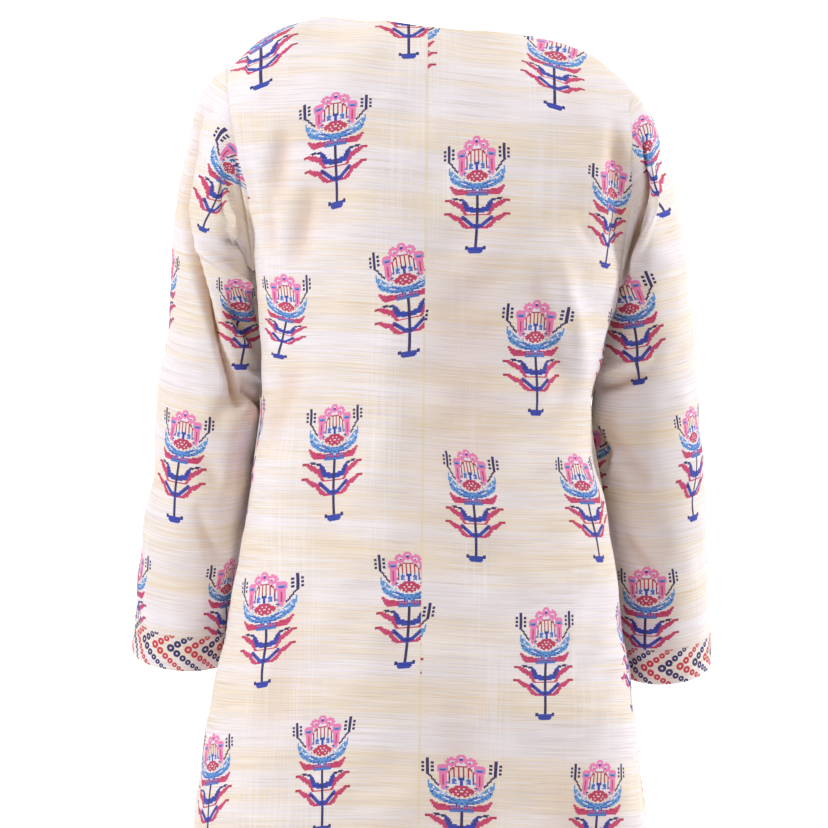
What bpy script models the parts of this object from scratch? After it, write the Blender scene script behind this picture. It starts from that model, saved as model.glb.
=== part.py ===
"""Knee-length A-line kurta tunic with three-quarter sleeves, hollow, in the form it takes when worn.

Frame: metres, +Z up. The wearer faces +Y, so the back is at -Y and the wearer's right is at +X. The
origin lies midway between the two points where the shoulder seams meet the neck. "down" is a
distance below that level, so z = -down.

Each cut piece is one closed cloth wall. A torso panel is a grid of rows (neck and shoulder to hem) and
columns (centre to armhole and side seam). A sleeve is a tube of rings whose first ring is the armhole.
"""
import math
from collections import namedtuple

import bmesh
import bpy
import numpy as np

# ---------------------------------------------------------------------------------------------
# Driving dimensions, in metres
# ---------------------------------------------------------------------------------------------
LENGTH = 1.060            # neck-and-shoulder point to hem
WALL = 0.0015             # cloth wall of the panels and sleeves
BAND_WALL = 0.0020        # cuff band, a doubled cloth
SEAM_GAP = 0.0003         # left between two pieces at a seam

NECK_HALF = 0.0956        # half the neck width at the shoulder seams
NECK_DROP_BACK = 0.006
NECK_DROP_FRONT = 0.105
NECK_ROUND_BACK = 2.0     # power of the back neck's shallow curve
SHOULDER_HALF = 0.176     # half the width between the armhole tops
SHOULDER_DOWN = 0.044
UNDERARM_HALF = 0.1595
UNDERARM_DOWN = 0.222
SHOULDER_ROLL = 0.085     # height over which the cloth turns over the shoulder ridge
SQUARENESS = 2.3          # power of the torso's section: 2 is an ellipse
ARM_FLARE = 2.2           # the section's half width above the underarm outgrows the armhole by this
                          # times the height squared, so that it takes in part of the upper arm
SWAY = 0.0115             # how far the chest's sides stand aside, towards +X
SWAY_GROWS = (0.045, 0.130)    # from and to how far down
SWAY_FADES = (0.170, 0.370)
SHOULDER_TILT = 0.0068    # the left shoulder is carried this much higher, the right one lower

BAND_HEIGHT = 0.027
SLEEVE_LENGTH = 0.515     # along the sleeve's outer edge, band included

# Rows and columns of the grids
ARMHOLE_ROWS = 10
SKIRT_ROWS = 21
NECK_COLUMNS = 7
SHOULDER_COLUMNS = 6
CAP_RINGS = 7             # over the first rows of RINGS, to CAP_SHARE of the length
ARM_RINGS = 17
CAP_SHARE = 0.21

# The line that the cloth hangs over, seen from behind. Inside the neck it is the neck's own slope.
RidgeRow = namedtuple("RidgeRow", "half down")
RIDGE = [
    RidgeRow(0.000, -0.034),
    RidgeRow(0.050, -0.019),
    RidgeRow(NECK_HALF, 0.000),
    RidgeRow(0.125, 0.0075),
    RidgeRow(0.144, 0.0180),
    RidgeRow(0.160, 0.0305),
    RidgeRow(SHOULDER_HALF, SHOULDER_DOWN),
]

# The armhole seam's distance from the middle.
ArmholeRow = namedtuple("ArmholeRow", "down half")
ARMHOLE = [
    ArmholeRow(SHOULDER_DOWN, SHOULDER_HALF),
    ArmholeRow(0.080, 0.1735),
    ArmholeRow(0.130, 0.1700),
    ArmholeRow(0.180, 0.1645),
    ArmholeRow(UNDERARM_DOWN, UNDERARM_HALF),
]

# Half widths to the side seams, from the underarm to the hem.
WidthRow = namedtuple("WidthRow", "down left right")
WIDTHS = [
    WidthRow(UNDERARM_DOWN, UNDERARM_HALF, UNDERARM_HALF),
    WidthRow(0.278, 0.1490, 0.1520),
    WidthRow(0.335, 0.1430, 0.1470),
    WidthRow(0.405, 0.1500, 0.1590),
    WidthRow(0.500, 0.1640, 0.1750),
    WidthRow(0.600, 0.1830, 0.1920),
    WidthRow(0.700, 0.1975, 0.2010),
    WidthRow(0.860, 0.2170, 0.2190),
    WidthRow(LENGTH, 0.2420, 0.2440),
]

# Depths of the section behind and before the side seams.
DepthRow = namedtuple("DepthRow", "down back front")
DEPTHS = [
    DepthRow(-0.040, 0.078, 0.074),
    DepthRow(0.040, 0.094, 0.090),
    DepthRow(0.120, 0.108, 0.107),
    DepthRow(0.200, 0.112, 0.120),
    DepthRow(0.300, 0.107, 0.118),
    DepthRow(0.420, 0.108, 0.113),
    DepthRow(0.560, 0.122, 0.120),
    DepthRow(0.700, 0.133, 0.134),
    DepthRow(0.860, 0.149, 0.150),
    DepthRow(LENGTH, 0.170, 0.170),
]

# Sleeve rings. along: share of the way from armhole to cuff hem. outer_left, outer_right, outer_down:
# where the ring meets the arm's outer side. clear: how far its inner side stands off the torso's side,
# at inner_down. depth: half its size front to back. forward: its middle's place front to back. tilt:
# how far its back sinks below square, in degrees.
RingRow = namedtuple("RingRow", "along outer_left outer_right outer_down clear inner_down depth "
                                "forward tilt")
RINGS = [
    RingRow(0.000, SHOULDER_HALF, SHOULDER_HALF, SHOULDER_DOWN, 0.0, UNDERARM_DOWN, 0.060, 0.0, 0.0),
    RingRow(0.030, 0.1885, 0.1885, 0.0530, 0.0057, 0.2165, 0.061, 0.001, 0.0),
    RingRow(0.065, 0.1985, 0.1985, 0.0710, 0.0063, 0.2190, 0.062, 0.004, 0.0),
    RingRow(0.130, 0.2080, 0.2095, 0.1040, 0.0022, 0.2280, 0.062, 0.012, 0.0),
    RingRow(0.210, 0.2170, 0.2210, 0.1450, 0.0004, 0.2430, 0.061, 0.021, 0.0),
    RingRow(0.300, 0.2230, 0.2310, 0.1900, 0.0002, 0.2640, 0.059, 0.028, 0.0),
    RingRow(0.410, 0.2285, 0.2385, 0.2450, 0.0002, 0.2940, 0.057, 0.033, 1.0),
    RingRow(0.530, 0.2325, 0.2440, 0.3050, 0.0000, 0.3330, 0.055, 0.036, 3.0),
    RingRow(0.650, 0.2380, 0.2485, 0.3660, 0.0002, 0.3800, 0.054, 0.039, 6.0),
    RingRow(0.770, 0.2460, 0.2530, 0.4300, 0.0004, 0.4380, 0.053, 0.045, 9.0),
    RingRow(0.900, 0.2540, 0.2580, 0.5010, 0.0000, 0.5060, 0.052, 0.057, 12.0),
    RingRow(1.000, 0.2575, 0.2605, 0.5560, -0.0010, 0.5640, 0.052, 0.068, 14.0),
]

# The torso's largest folds: a line on the panel seen from behind or before, across from the middle
# (+X) and down, with its half width and its height. A negative height is a trough.
BACK, FRONT = -1.0, 1.0
FoldRow = namedtuple("FoldRow", "face across0 down0 across1 down1 half height")
FOLDS = [
    FoldRow(BACK, -0.126, 0.100, -0.136, 0.185, 0.013, -0.0045),
    FoldRow(BACK, -0.101, 0.165, -0.114, 0.245, 0.014, -0.0030),
    FoldRow(BACK, -0.112, 0.310, -0.138, 0.372, 0.014, -0.0050),
    FoldRow(BACK, 0.108, 0.190, 0.138, 0.345, 0.017, 0.0050),
    FoldRow(BACK, 0.134, 0.160, 0.150, 0.205, 0.011, -0.0045),
    FoldRow(BACK, 0.060, 0.700, 0.100, LENGTH, 0.034, 0.0080),
    FoldRow(BACK, 0.128, 0.620, 0.168, LENGTH, 0.028, -0.0070),
    FoldRow(BACK, -0.050, 0.780, -0.066, LENGTH, 0.032, -0.0075),
    FoldRow(BACK, -0.125, 0.680, -0.160, LENGTH, 0.032, 0.0080),
    FoldRow(FRONT, 0.118, 0.195, 0.085, 0.255, 0.015, -0.0040),
    FoldRow(FRONT, -0.120, 0.205, -0.090, 0.262, 0.014, -0.0040),
    FoldRow(FRONT, 0.105, 0.300, 0.132, 0.390, 0.016, -0.0045),
    FoldRow(FRONT, -0.110, 0.318, -0.136, 0.400, 0.016, 0.0045),
    FoldRow(FRONT, 0.020, 0.640, 0.034, LENGTH, 0.034, 0.0080),
    FoldRow(FRONT, 0.108, 0.600, 0.148, LENGTH, 0.030, -0.0075),
    FoldRow(FRONT, -0.070, 0.700, -0.092, LENGTH, 0.032, -0.0080),
    FoldRow(FRONT, -0.140, 0.660, -0.182, LENGTH, 0.028, 0.0070),
]

# The sleeves' largest folds: share of the way down and turn round the sleeve in degrees (0 outer,
# 90 back, 180 inner, 270 front) at both ends, half width as a share of the length, and height.
LEFT, RIGHT = -1.0, 1.0
SleeveFoldRow = namedtuple("SleeveFoldRow", "side along0 turn0 along1 turn1 half height")
SLEEVE_FOLDS = [
    SleeveFoldRow(LEFT, 0.10, 28.0, 0.28, 54.0, 0.030, -0.0035),
    SleeveFoldRow(LEFT, 0.24, 46.0, 0.50, 120.0, 0.030, -0.0060),
    SleeveFoldRow(LEFT, 0.27, 66.0, 0.20, 140.0, 0.028, 0.0040),
    SleeveFoldRow(LEFT, 0.34, 105.0, 0.38, 158.0, 0.034, -0.0050),
    SleeveFoldRow(LEFT, 0.46, 150.0, 0.60, 95.0, 0.030, -0.0035),
    SleeveFoldRow(LEFT, 0.60, 250.0, 0.52, 170.0, 0.030, -0.0045),
    SleeveFoldRow(LEFT, 0.14, 236.0, 0.36, 290.0, 0.030, -0.0040),
    SleeveFoldRow(RIGHT, 0.06, 75.0, 0.14, 165.0, 0.030, -0.0060),
    SleeveFoldRow(RIGHT, 0.10, 60.0, 0.15, 120.0, 0.030, 0.0030),
    SleeveFoldRow(RIGHT, 0.46, 160.0, 0.48, 90.0, 0.028, -0.0045),
    SleeveFoldRow(RIGHT, 0.58, 165.0, 0.64, 140.0, 0.034, -0.0050),
    SleeveFoldRow(RIGHT, 0.58, 246.0, 0.50, 172.0, 0.030, -0.0045),
    SleeveFoldRow(RIGHT, 0.16, 230.0, 0.34, 282.0, 0.030, -0.0040),
]
FULL_TURN = 360.0

CREAM = (0.83, 0.75, 0.66, 1.0)
BAND_CREAM = (0.80, 0.70, 0.60, 1.0)
CLOTH_ROUGHNESS = 0.85


# ---------------------------------------------------------------------------------------------
# Curves
# ---------------------------------------------------------------------------------------------
def smooth(rows, knot, column, at):
    """Cubic curve through a table's rows; its slope at a row is that between the neighbouring rows."""
    knots = np.array([getattr(row, knot) for row in rows])
    values = np.array([getattr(row, column) for row in rows])
    slopes = np.gradient(values, knots)
    at = np.clip(at, knots[0], knots[-1])
    i = np.clip(np.searchsorted(knots, at) - 1, 0, len(knots) - 2)
    step = knots[i + 1] - knots[i]
    s = (at - knots[i]) / step
    return ((1 + 2 * s) * (1 - s) ** 2 * values[i] + s * (1 - s) ** 2 * step * slopes[i]
            + s * s * (3 - 2 * s) * values[i + 1] - s * s * (1 - s) * step * slopes[i + 1])


def ease(low, high, value):
    """Rises smoothly from 0 at low to 1 at high."""
    s = np.clip((value - low) / (high - low), 0.0, 1.0)
    return s * s * (3 - 2 * s)


def ridge_down(across):
    """How far the shoulder ridge lies below the neck point."""
    return smooth(RIDGE, "half", "down", np.abs(across))


def half_width(down, across):
    """Half width of the torso's section, on the side that the sign of across gives."""
    side = np.where(across < 0, smooth(WIDTHS, "down", "left", down),
                    smooth(WIDTHS, "down", "right", down))
    above = np.clip(UNDERARM_DOWN - down, 0.0, None)
    armhole = smooth(ARMHOLE, "down", "half", down)
    return np.where(above > 0, armhole + ARM_FLARE * above ** 2, side)


def sway(down):
    """How far the section's sides stand aside."""
    return SWAY * ease(*SWAY_GROWS, down) * (1 - ease(*SWAY_FADES, down))


def surface_depth(across, down, face):
    """Distance of a panel's cloth from the plane of the side seams, and its sign."""
    depth = smooth(DEPTHS, "down", "back" if face == BACK else "front", down)
    share = np.clip(np.abs(across) / half_width(down, across), 0.0, 1.0)
    section = (1 - share ** SQUARENESS) ** (1 / SQUARENESS)
    under = np.clip((down - ridge_down(across)) / SHOULDER_ROLL, 0.0, 1.0)
    roll = np.sqrt(1 - (1 - under) ** 2)
    return face * depth * section * roll


def top_down(across, face):
    """The panel's upper edge: the neck curve between the neck points, the shoulder seam beyond them."""
    share = np.clip(np.abs(across) / NECK_HALF, 0.0, 1.0)
    if face == BACK:
        neck = NECK_DROP_BACK * (1 - share ** NECK_ROUND_BACK)
    else:
        neck = NECK_DROP_FRONT * np.sqrt(1 - share ** 2)
    return np.where(np.abs(across) < NECK_HALF, neck, ridge_down(across))


def tilted(points):
    """Raises the left shoulder and lowers the right one, less and less towards the hem."""
    across, down = points[..., 0], -points[..., 2]
    lift = SHOULDER_TILT * (1 - 2 * ease(-NECK_HALF, NECK_HALF, across)) * (1 - down / LENGTH)
    moved = points.copy()
    moved[..., 2] += lift
    return moved


# ---------------------------------------------------------------------------------------------
# Torso panels
# ---------------------------------------------------------------------------------------------
def row_downs():
    """Where each row meets the armhole and then the side seam."""
    turn = np.linspace(0.0, math.pi, ARMHOLE_ROWS + 1)
    armhole = SHOULDER_DOWN + (UNDERARM_DOWN - SHOULDER_DOWN) * (1 - np.cos(turn)) / 2
    skirt = np.linspace(UNDERARM_DOWN, LENGTH, SKIRT_ROWS + 1)[1:]
    return np.concatenate([armhole, skirt])


def half_columns():
    """Column places from 0 at the centre to 1 at the armhole. The ones within the neck are equal turns
    of its oval apart, so that they crowd towards the neck point."""
    top_half = half_width(SHOULDER_DOWN, 1.0)
    neck_turn = np.linspace(0.0, math.pi / 2, NECK_COLUMNS + 1)
    shoulder_turn = math.asin(SHOULDER_HALF / top_half)
    inner = np.arcsin(NECK_HALF * np.sin(neck_turn) / top_half) / shoulder_turn
    return np.concatenate([inner, np.linspace(inner[-1], 1.0, SHOULDER_COLUMNS + 1)[1:]])


def panel_surface(face, columns):
    """A panel's middle surface, rows by columns. Columns run from -1 (left edge) to 1 (right edge)."""
    edge_down = row_downs()[:, None]
    side = np.where(columns < 0, -1.0, 1.0)[None, :]
    section = half_width(edge_down, side)
    edge = np.where(edge_down < UNDERARM_DOWN, smooth(ARMHOLE, "down", "half", edge_down), section)
    across = section * np.sin(columns[None, :] * np.arcsin(np.clip(edge / section, 0.0, 1.0)))
    level = (edge_down - SHOULDER_DOWN) / (LENGTH - SHOULDER_DOWN)
    down = edge_down + (top_down(across, face) - SHOULDER_DOWN) * (1 - level) ** 4
    aside = sway(down) * (across / section) ** 2
    return np.stack([across + aside, surface_depth(across, down, face), -down], axis=-1)


def fold_heights(points, columns, face):
    """Height of the folds over a panel, fading to nothing at the armhole and the side seam."""
    across, down = points[..., 0], -points[..., 2]
    height = np.zeros_like(across)
    for fold in FOLDS:
        if fold.face != face:
            continue
        run = np.array([fold.across1 - fold.across0, fold.down1 - fold.down0])
        share = ((across - fold.across0) * run[0] + (down - fold.down0) * run[1]) / (run @ run)
        along = np.clip(share, 0.0, 1.0)
        away = np.hypot(across - fold.across0 - along * run[0], down - fold.down0 - along * run[1])
        reach = ease(-0.1, 0.35, share)
        if fold.down1 < LENGTH:
            reach = reach * (1 - ease(0.65, 1.1, share))
        height += fold.height * reach * np.exp(-(away / fold.half) ** 2)
    return height * (1 - np.abs(columns[None, :]) ** 8)


def grid_normals(points, closed=False):
    """Unit normals of a grid from the differences between neighbouring rows and columns."""
    down_rows = np.gradient(points, axis=0)
    if closed:
        round_ring = np.roll(points, -1, axis=1) - np.roll(points, 1, axis=1)
    else:
        round_ring = np.gradient(points, axis=1)
    normal = np.cross(round_ring, down_rows)
    return normal / np.linalg.norm(normal, axis=-1, keepdims=True)


def without(normals, axis):
    """The normals with one axis taken out, so that a seam's two end faces are parallel."""
    flat = normals.copy()
    flat[..., axis] = 0.0
    return flat / np.linalg.norm(flat, axis=-1, keepdims=True)


def panel_grid(face, columns):
    """A panel's middle surface and normals, with its seams half a gap back from its neighbours."""
    points = panel_surface(face, columns)
    points += grid_normals(points) * fold_heights(points, columns, face)[..., None] * face
    normals = grid_normals(points)

    last = points.shape[1] - 1
    shoulder = [i for i in range(last + 1) if abs(points[0, i, 0]) > NECK_HALF - WALL]
    normals[0, shoulder] = without(normals[0, shoulder], 1)
    points[0, shoulder, 1] = face * SEAM_GAP / 2
    for i in (0, last):
        if abs(columns[i]) == 1.0:
            normals[ARMHOLE_ROWS:, i] = without(normals[ARMHOLE_ROWS:, i], 1)
            points[ARMHOLE_ROWS:, i, 1] = face * SEAM_GAP / 2
        else:
            normals[:, i] = without(normals[:, i], 0)
            points[:, i, 0] = SEAM_GAP / 2 * np.sign(columns.sum())
    return points, normals


# ---------------------------------------------------------------------------------------------
# Sleeves
# ---------------------------------------------------------------------------------------------
def armhole_loop(side):
    """The armhole seam on the torso, shoulder point first, down the back and up the front, with the
    torso's normals there."""
    columns = side * half_columns()
    rows = slice(0, ARMHOLE_ROWS + 1)
    back = panel_surface(BACK, columns)
    front = panel_surface(FRONT, columns)
    back_normal = grid_normals(back)[rows, -1]
    front_normal = grid_normals(front)[rows, -1]
    points = np.concatenate([back[rows, -1], front[rows, -1][-2:0:-1]])
    normals = np.concatenate([back_normal, front_normal[-2:0:-1]])
    for seam in (0, ARMHOLE_ROWS):
        points[seam, 1] = 0.0
        normals[seam] = without(normals[seam], 1)
    middle = np.array([0.0, 0.0, -(UNDERARM_DOWN + SHOULDER_DOWN)])
    outward = np.sign(np.sum(normals * (points - middle), axis=-1, keepdims=True))
    return points, normals * outward


def off_the_armhole(points, normals, side):
    """The unit directions that leave the torso's cloth across the armhole seam."""
    run = np.roll(points, -1, axis=0) - np.roll(points, 1, axis=0)
    away = np.cross(normals, run) * side
    return away / np.linalg.norm(away, axis=-1, keepdims=True)


def sleeve_surface(side, alongs):
    """The sleeve's middle surface. Each ring is an oval whose long line runs from the arm's outer to
    its inner side; the first rings keep the armhole's own outline."""
    loop, _ = armhole_loop(side)
    count = len(loop)
    turn = np.arange(count) * 2 * math.pi / count
    top, under = loop[0], loop[ARMHOLE_ROWS]
    chord = under + (top - under) * ((np.cos(turn) + 1) / 2)[:, None]
    bulge = (loop - chord) * np.array([1.0, 0.0, 0.0])
    outline = loop[:, 1] / RINGS[0].depth

    def column(name):
        return smooth(RINGS, "along", name, alongs)[:, None]

    level = np.zeros((len(alongs), 1))
    torso_side = side * half_width(column("inner_down"), side) + sway(column("inner_down"))
    outer_side = side * column("outer_left" if side == LEFT else "outer_right")
    outer = np.concatenate([outer_side, level, -column("outer_down")], axis=1)
    inner = np.concatenate([torso_side + side * column("clear"), level, -column("inner_down")], axis=1)
    oval = ease(0.0, 0.30, alongs)[:, None]
    across = (np.cos(turn)[None, :] + 1) / 2
    reach = ((1 - oval) * outline[None, :] - oval * np.sin(turn)[None, :]) * column("depth")
    tilt = np.radians(column("tilt"))
    points = inner[:, None, :] + (outer - inner)[:, None, :] * across[..., None]
    points[..., 1] += column("forward") + reach * np.cos(tilt)
    points[..., 2] += reach * np.sin(tilt)
    return points + bulge[None, :, :] * (1 - oval)[..., None]


def sleeve_fold_heights(side, alongs, count):
    """Height of the folds over a sleeve, fading to nothing at the armhole and the cuff."""
    along = alongs[:, None]
    turn = (np.arange(count) * FULL_TURN / count)[None, :]
    height = np.zeros((len(alongs), count))
    for fold in SLEEVE_FOLDS:
        if fold.side != side:
            continue
        run = np.array([fold.along1 - fold.along0, (fold.turn1 - fold.turn0) / FULL_TURN])
        off = (turn - fold.turn0 + FULL_TURN / 2) % FULL_TURN - FULL_TURN / 2
        place = np.stack(np.broadcast_arrays(along - fold.along0, off / FULL_TURN), axis=-1)
        share = np.clip(place @ run / (run @ run), 0.0, 1.0)
        away = np.linalg.norm(place - share[..., None] * run, axis=-1)
        height += fold.height * (1 - (2 * share - 1) ** 4) * np.exp(-(away / fold.half) ** 2)
    return height * ease(0.02, 0.10, along) * (1 - ease(0.80, 0.94, along))


def sleeve_grids(side):
    """Middle surfaces and normals of a sleeve and its cuff band."""
    band_start = 1 - BAND_HEIGHT / SLEEVE_LENGTH
    half_gap = SEAM_GAP / 2 / SLEEVE_LENGTH
    cap = np.linspace(0.0, CAP_SHARE, CAP_RINGS + 1)
    arm = np.linspace(CAP_SHARE, band_start - half_gap, ARM_RINGS + 1)[1:]
    alongs = np.concatenate([cap, arm, [band_start + half_gap, (1 + band_start) / 2, 1.0]])
    points = sleeve_surface(side, alongs)
    heights = sleeve_fold_heights(side, alongs, points.shape[1])
    points += grid_normals(points, closed=True) * heights[..., None] * side

    loop, loop_normals = armhole_loop(side)
    points[0] = loop + off_the_armhole(loop, loop_normals, side) * SEAM_GAP
    normals = grid_normals(points, closed=True)
    normals[0] = loop_normals * np.sign(np.sum(loop_normals * normals[0], axis=-1, keepdims=True))
    split = CAP_RINGS + ARM_RINGS + 1
    return (points[:split], normals[:split]), (points[split:], normals[split:])


# ---------------------------------------------------------------------------------------------
# Solids
# ---------------------------------------------------------------------------------------------
def cloth_material(name, colour):
    """A matt woven cotton."""
    material = bpy.data.materials.new(name)
    material.use_nodes = True
    shader = material.node_tree.nodes["Principled BSDF"]
    shader.inputs["Base Color"].default_value = colour
    shader.inputs["Roughness"].default_value = CLOTH_ROUGHNESS
    shader.inputs["Metallic"].default_value = 0.0
    material.diffuse_color = colour
    return material


def wall_object(name, grid, wall, material, closed=False):
    """Gives a grid its wall, half to each side, closes its edges and adds it to the scene."""
    points, normals = grid
    rows, columns = points.shape[:2]
    outer = tilted(points + normals * wall / 2).reshape(-1, 3)
    inner = tilted(points - normals * wall / 2).reshape(-1, 3)
    offset = len(outer)
    spans = columns if closed else columns - 1
    faces = []
    for row in range(rows - 1):
        for column in range(spans):
            corner = row * columns + column
            beside = row * columns + (column + 1) % columns
            quad = (corner, beside, beside + columns, corner + columns)
            faces.append(quad)
            faces.append(tuple(offset + i for i in reversed(quad)))
    for row in (0, rows - 1):
        for column in range(spans):
            corner = row * columns + column
            beside = row * columns + (column + 1) % columns
            faces.append((corner, beside, beside + offset, corner + offset))
    if not closed:
        for column in (0, columns - 1):
            for row in range(rows - 1):
                corner = row * columns + column
                faces.append((corner, corner + columns, corner + columns + offset, corner + offset))

    mesh = bpy.data.meshes.new(name)
    mesh.from_pydata(np.concatenate([outer, inner]).tolist(), [], faces)
    shell = bmesh.new()
    shell.from_mesh(mesh)
    bmesh.ops.recalc_face_normals(shell, faces=shell.faces)
    shell.to_mesh(mesh)
    shell.free()
    mesh.materials.append(material)
    mesh.shade_smooth()
    mesh.set_sharp_from_angle(angle=math.radians(50.0))
    piece = bpy.data.objects.new(name, mesh)
    bpy.context.scene.collection.objects.link(piece)
    return piece


def build_torso():
    """The two halves of the back and the plain front."""
    half = half_columns()
    wall_object("back_left", panel_grid(BACK, -half[::-1]), WALL, cloth_material("back_left", CREAM))
    wall_object("back_right", panel_grid(BACK, half), WALL, cloth_material("back_right", CREAM))
    whole = np.concatenate([-half[::-1], half[1:]])
    wall_object("front", panel_grid(FRONT, whole), WALL, cloth_material("front", CREAM))


def build_sleeve(side, label):
    """One sleeve and the band round its end."""
    sleeve, band = sleeve_grids(side)
    sleeve_name = "sleeve_" + label
    band_name = "cuff_band_" + label
    wall_object(sleeve_name, sleeve, WALL, cloth_material(sleeve_name, CREAM), closed=True)
    wall_object(band_name, band, BAND_WALL, cloth_material(band_name, BAND_CREAM), closed=True)


def main():
    """Clears the scene and builds the tunic."""
    for thing in list(bpy.data.objects):
        bpy.data.objects.remove(thing, do_unlink=True)
    build_torso()
    build_sleeve(LEFT, "left")
    build_sleeve(RIGHT, "right")


main()
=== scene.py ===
"""Looks of the kurta tunic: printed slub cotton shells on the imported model's own form.

Frame: metres, +Z up. The wearer faces +Y, so the back is at -Y and the wearer's right is at +X. The
origin lies midway between the two points where the shoulder seams meet the neck, and "down" is -Z.

Each cloth piece is a grid of points on the form's surface with a place on the flat cloth, in metres,
for every point. That place is the piece's UV, and all cloth materials read it: the print, the slubs and
the weave follow the cloth and not the camera.
"""
import logging
import math
from collections import namedtuple
from dataclasses import dataclass, field
from enum import Enum

import bpy
import numpy as np
from mathutils import Matrix, Vector

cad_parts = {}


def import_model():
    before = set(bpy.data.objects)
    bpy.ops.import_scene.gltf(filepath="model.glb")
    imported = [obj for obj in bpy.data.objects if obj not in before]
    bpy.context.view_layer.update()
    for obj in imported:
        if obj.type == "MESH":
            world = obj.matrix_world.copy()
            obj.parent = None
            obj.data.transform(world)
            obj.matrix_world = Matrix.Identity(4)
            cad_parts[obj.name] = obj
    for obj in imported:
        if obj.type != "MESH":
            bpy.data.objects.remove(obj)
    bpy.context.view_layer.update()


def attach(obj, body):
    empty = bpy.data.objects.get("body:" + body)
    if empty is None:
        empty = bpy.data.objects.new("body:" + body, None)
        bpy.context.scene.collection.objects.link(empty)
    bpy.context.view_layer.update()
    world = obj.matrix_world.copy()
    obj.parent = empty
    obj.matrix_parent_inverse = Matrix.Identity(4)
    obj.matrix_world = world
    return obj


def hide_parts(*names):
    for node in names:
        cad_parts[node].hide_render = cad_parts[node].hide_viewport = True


LOG = logging.getLogger("kurta_tunic")
BODY = "root"
# The third UV layer tells where warm shade is painted into the cloth's colour: trough depth and distance
# to a seam.
PRINT_UV, WEAVE_UV, PAINTED_SHADE_UV = "print", "weave", "painted_shade"

# ---- The form's driving dimensions, in metres: the same as the solids' ----
LENGTH = 1.060
NECK_HALF = 0.0956
NECK_DROP_BACK = 0.006
NECK_DROP_FRONT = 0.105
NECK_ROUND_BACK = 2.0
SHOULDER_HALF = 0.176
SHOULDER_DOWN = 0.044
UNDERARM_HALF = 0.1595
UNDERARM_DOWN = 0.222
SHOULDER_ROLL = 0.085
SQUARENESS = 2.3
ARM_FLARE = 2.2
SWAY = 0.0115             # how far the chest's sides stand aside, towards +X
SWAY_GROWS = (0.045, 0.130)    # from and to how far down
SWAY_FADES = (0.170, 0.370)
SHOULDER_TILT = 0.0068
BAND_HEIGHT = 0.027
SLEEVE_LENGTH = 0.515
FULL_TURN = 360.0
SHARP_ANGLE = 50.0         # edges sharper than this aren't smoothed over

# Grid sizes
ROW_LEVELLING = 4          # the power by which a panel's rows turn level towards the hem
ARMHOLE_ROWS = 40
SKIRT_ROWS = 170
NECK_COLUMNS = 26
SHOULDER_COLUMNS = 34
SLEEVE_RINGS = 190
RING_CROWDING = 0.35       # by how much a sleeve's first rings lie closer together than the middle ones
BAND_RINGS = 14

# Cloth thicknesses
CLOTH = 0.0008
TURNED_EDGE = 0.0016
HEM_TURN = 0.021
NECK_TURN = 0.0055
TURN_FADE = 0.001          # how far either fades out over
NECK_STITCH_INSET = 0.0010     # how far inside the turning's inner edge its stitches run
HEM_STITCH_INSET = 0.0015
CUFF_STITCH_DOWN = 0.0016      # how far below the band's seam its stitches run
CUFF_STITCH_LIFT = 0.0010
SEAM_WIDTH = 0.0028        # how far a sleeve's allowance reaches under the panels
SEAM_TUCK = 0.013          # and by what share of its own size it is narrower there
FACING_SHARE = 3.6     # how much wider the neck facing's band shows than the painted shade beside a seam
PAINTED_SHADE_DEPTH = 0.012   # cloth this far down in a trough takes the whole of the warm shade painted into its colour

RidgeRow = namedtuple("RidgeRow", "half down")
RIDGE = [
    RidgeRow(0.000, -0.034),
    RidgeRow(0.050, -0.019),
    RidgeRow(NECK_HALF, 0.000),
    RidgeRow(0.125, 0.0075),
    RidgeRow(0.144, 0.0180),
    RidgeRow(0.160, 0.0305),
    RidgeRow(SHOULDER_HALF, SHOULDER_DOWN),
]

ArmholeRow = namedtuple("ArmholeRow", "down half")
ARMHOLE = [
    ArmholeRow(SHOULDER_DOWN, SHOULDER_HALF),
    ArmholeRow(0.080, 0.1735),
    ArmholeRow(0.130, 0.1700),
    ArmholeRow(0.180, 0.1645),
    ArmholeRow(UNDERARM_DOWN, UNDERARM_HALF),
]

WidthRow = namedtuple("WidthRow", "down left right")
WIDTHS = [
    WidthRow(UNDERARM_DOWN, UNDERARM_HALF, UNDERARM_HALF),
    WidthRow(0.278, 0.1490, 0.1520),
    WidthRow(0.335, 0.1430, 0.1470),
    WidthRow(0.405, 0.1500, 0.1590),
    WidthRow(0.500, 0.1640, 0.1750),
    WidthRow(0.600, 0.1830, 0.1920),
    WidthRow(0.700, 0.1975, 0.2010),
    WidthRow(0.860, 0.2170, 0.2190),
    WidthRow(LENGTH, 0.2420, 0.2440),
]

DepthRow = namedtuple("DepthRow", "down back front")
DEPTHS = [
    DepthRow(-0.040, 0.078, 0.074),
    DepthRow(0.040, 0.094, 0.090),
    DepthRow(0.120, 0.108, 0.107),
    DepthRow(0.200, 0.112, 0.120),
    DepthRow(0.300, 0.107, 0.118),
    DepthRow(0.420, 0.108, 0.113),
    DepthRow(0.560, 0.122, 0.120),
    DepthRow(0.700, 0.133, 0.134),
    DepthRow(0.860, 0.149, 0.150),
    DepthRow(LENGTH, 0.170, 0.170),
]

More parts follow.
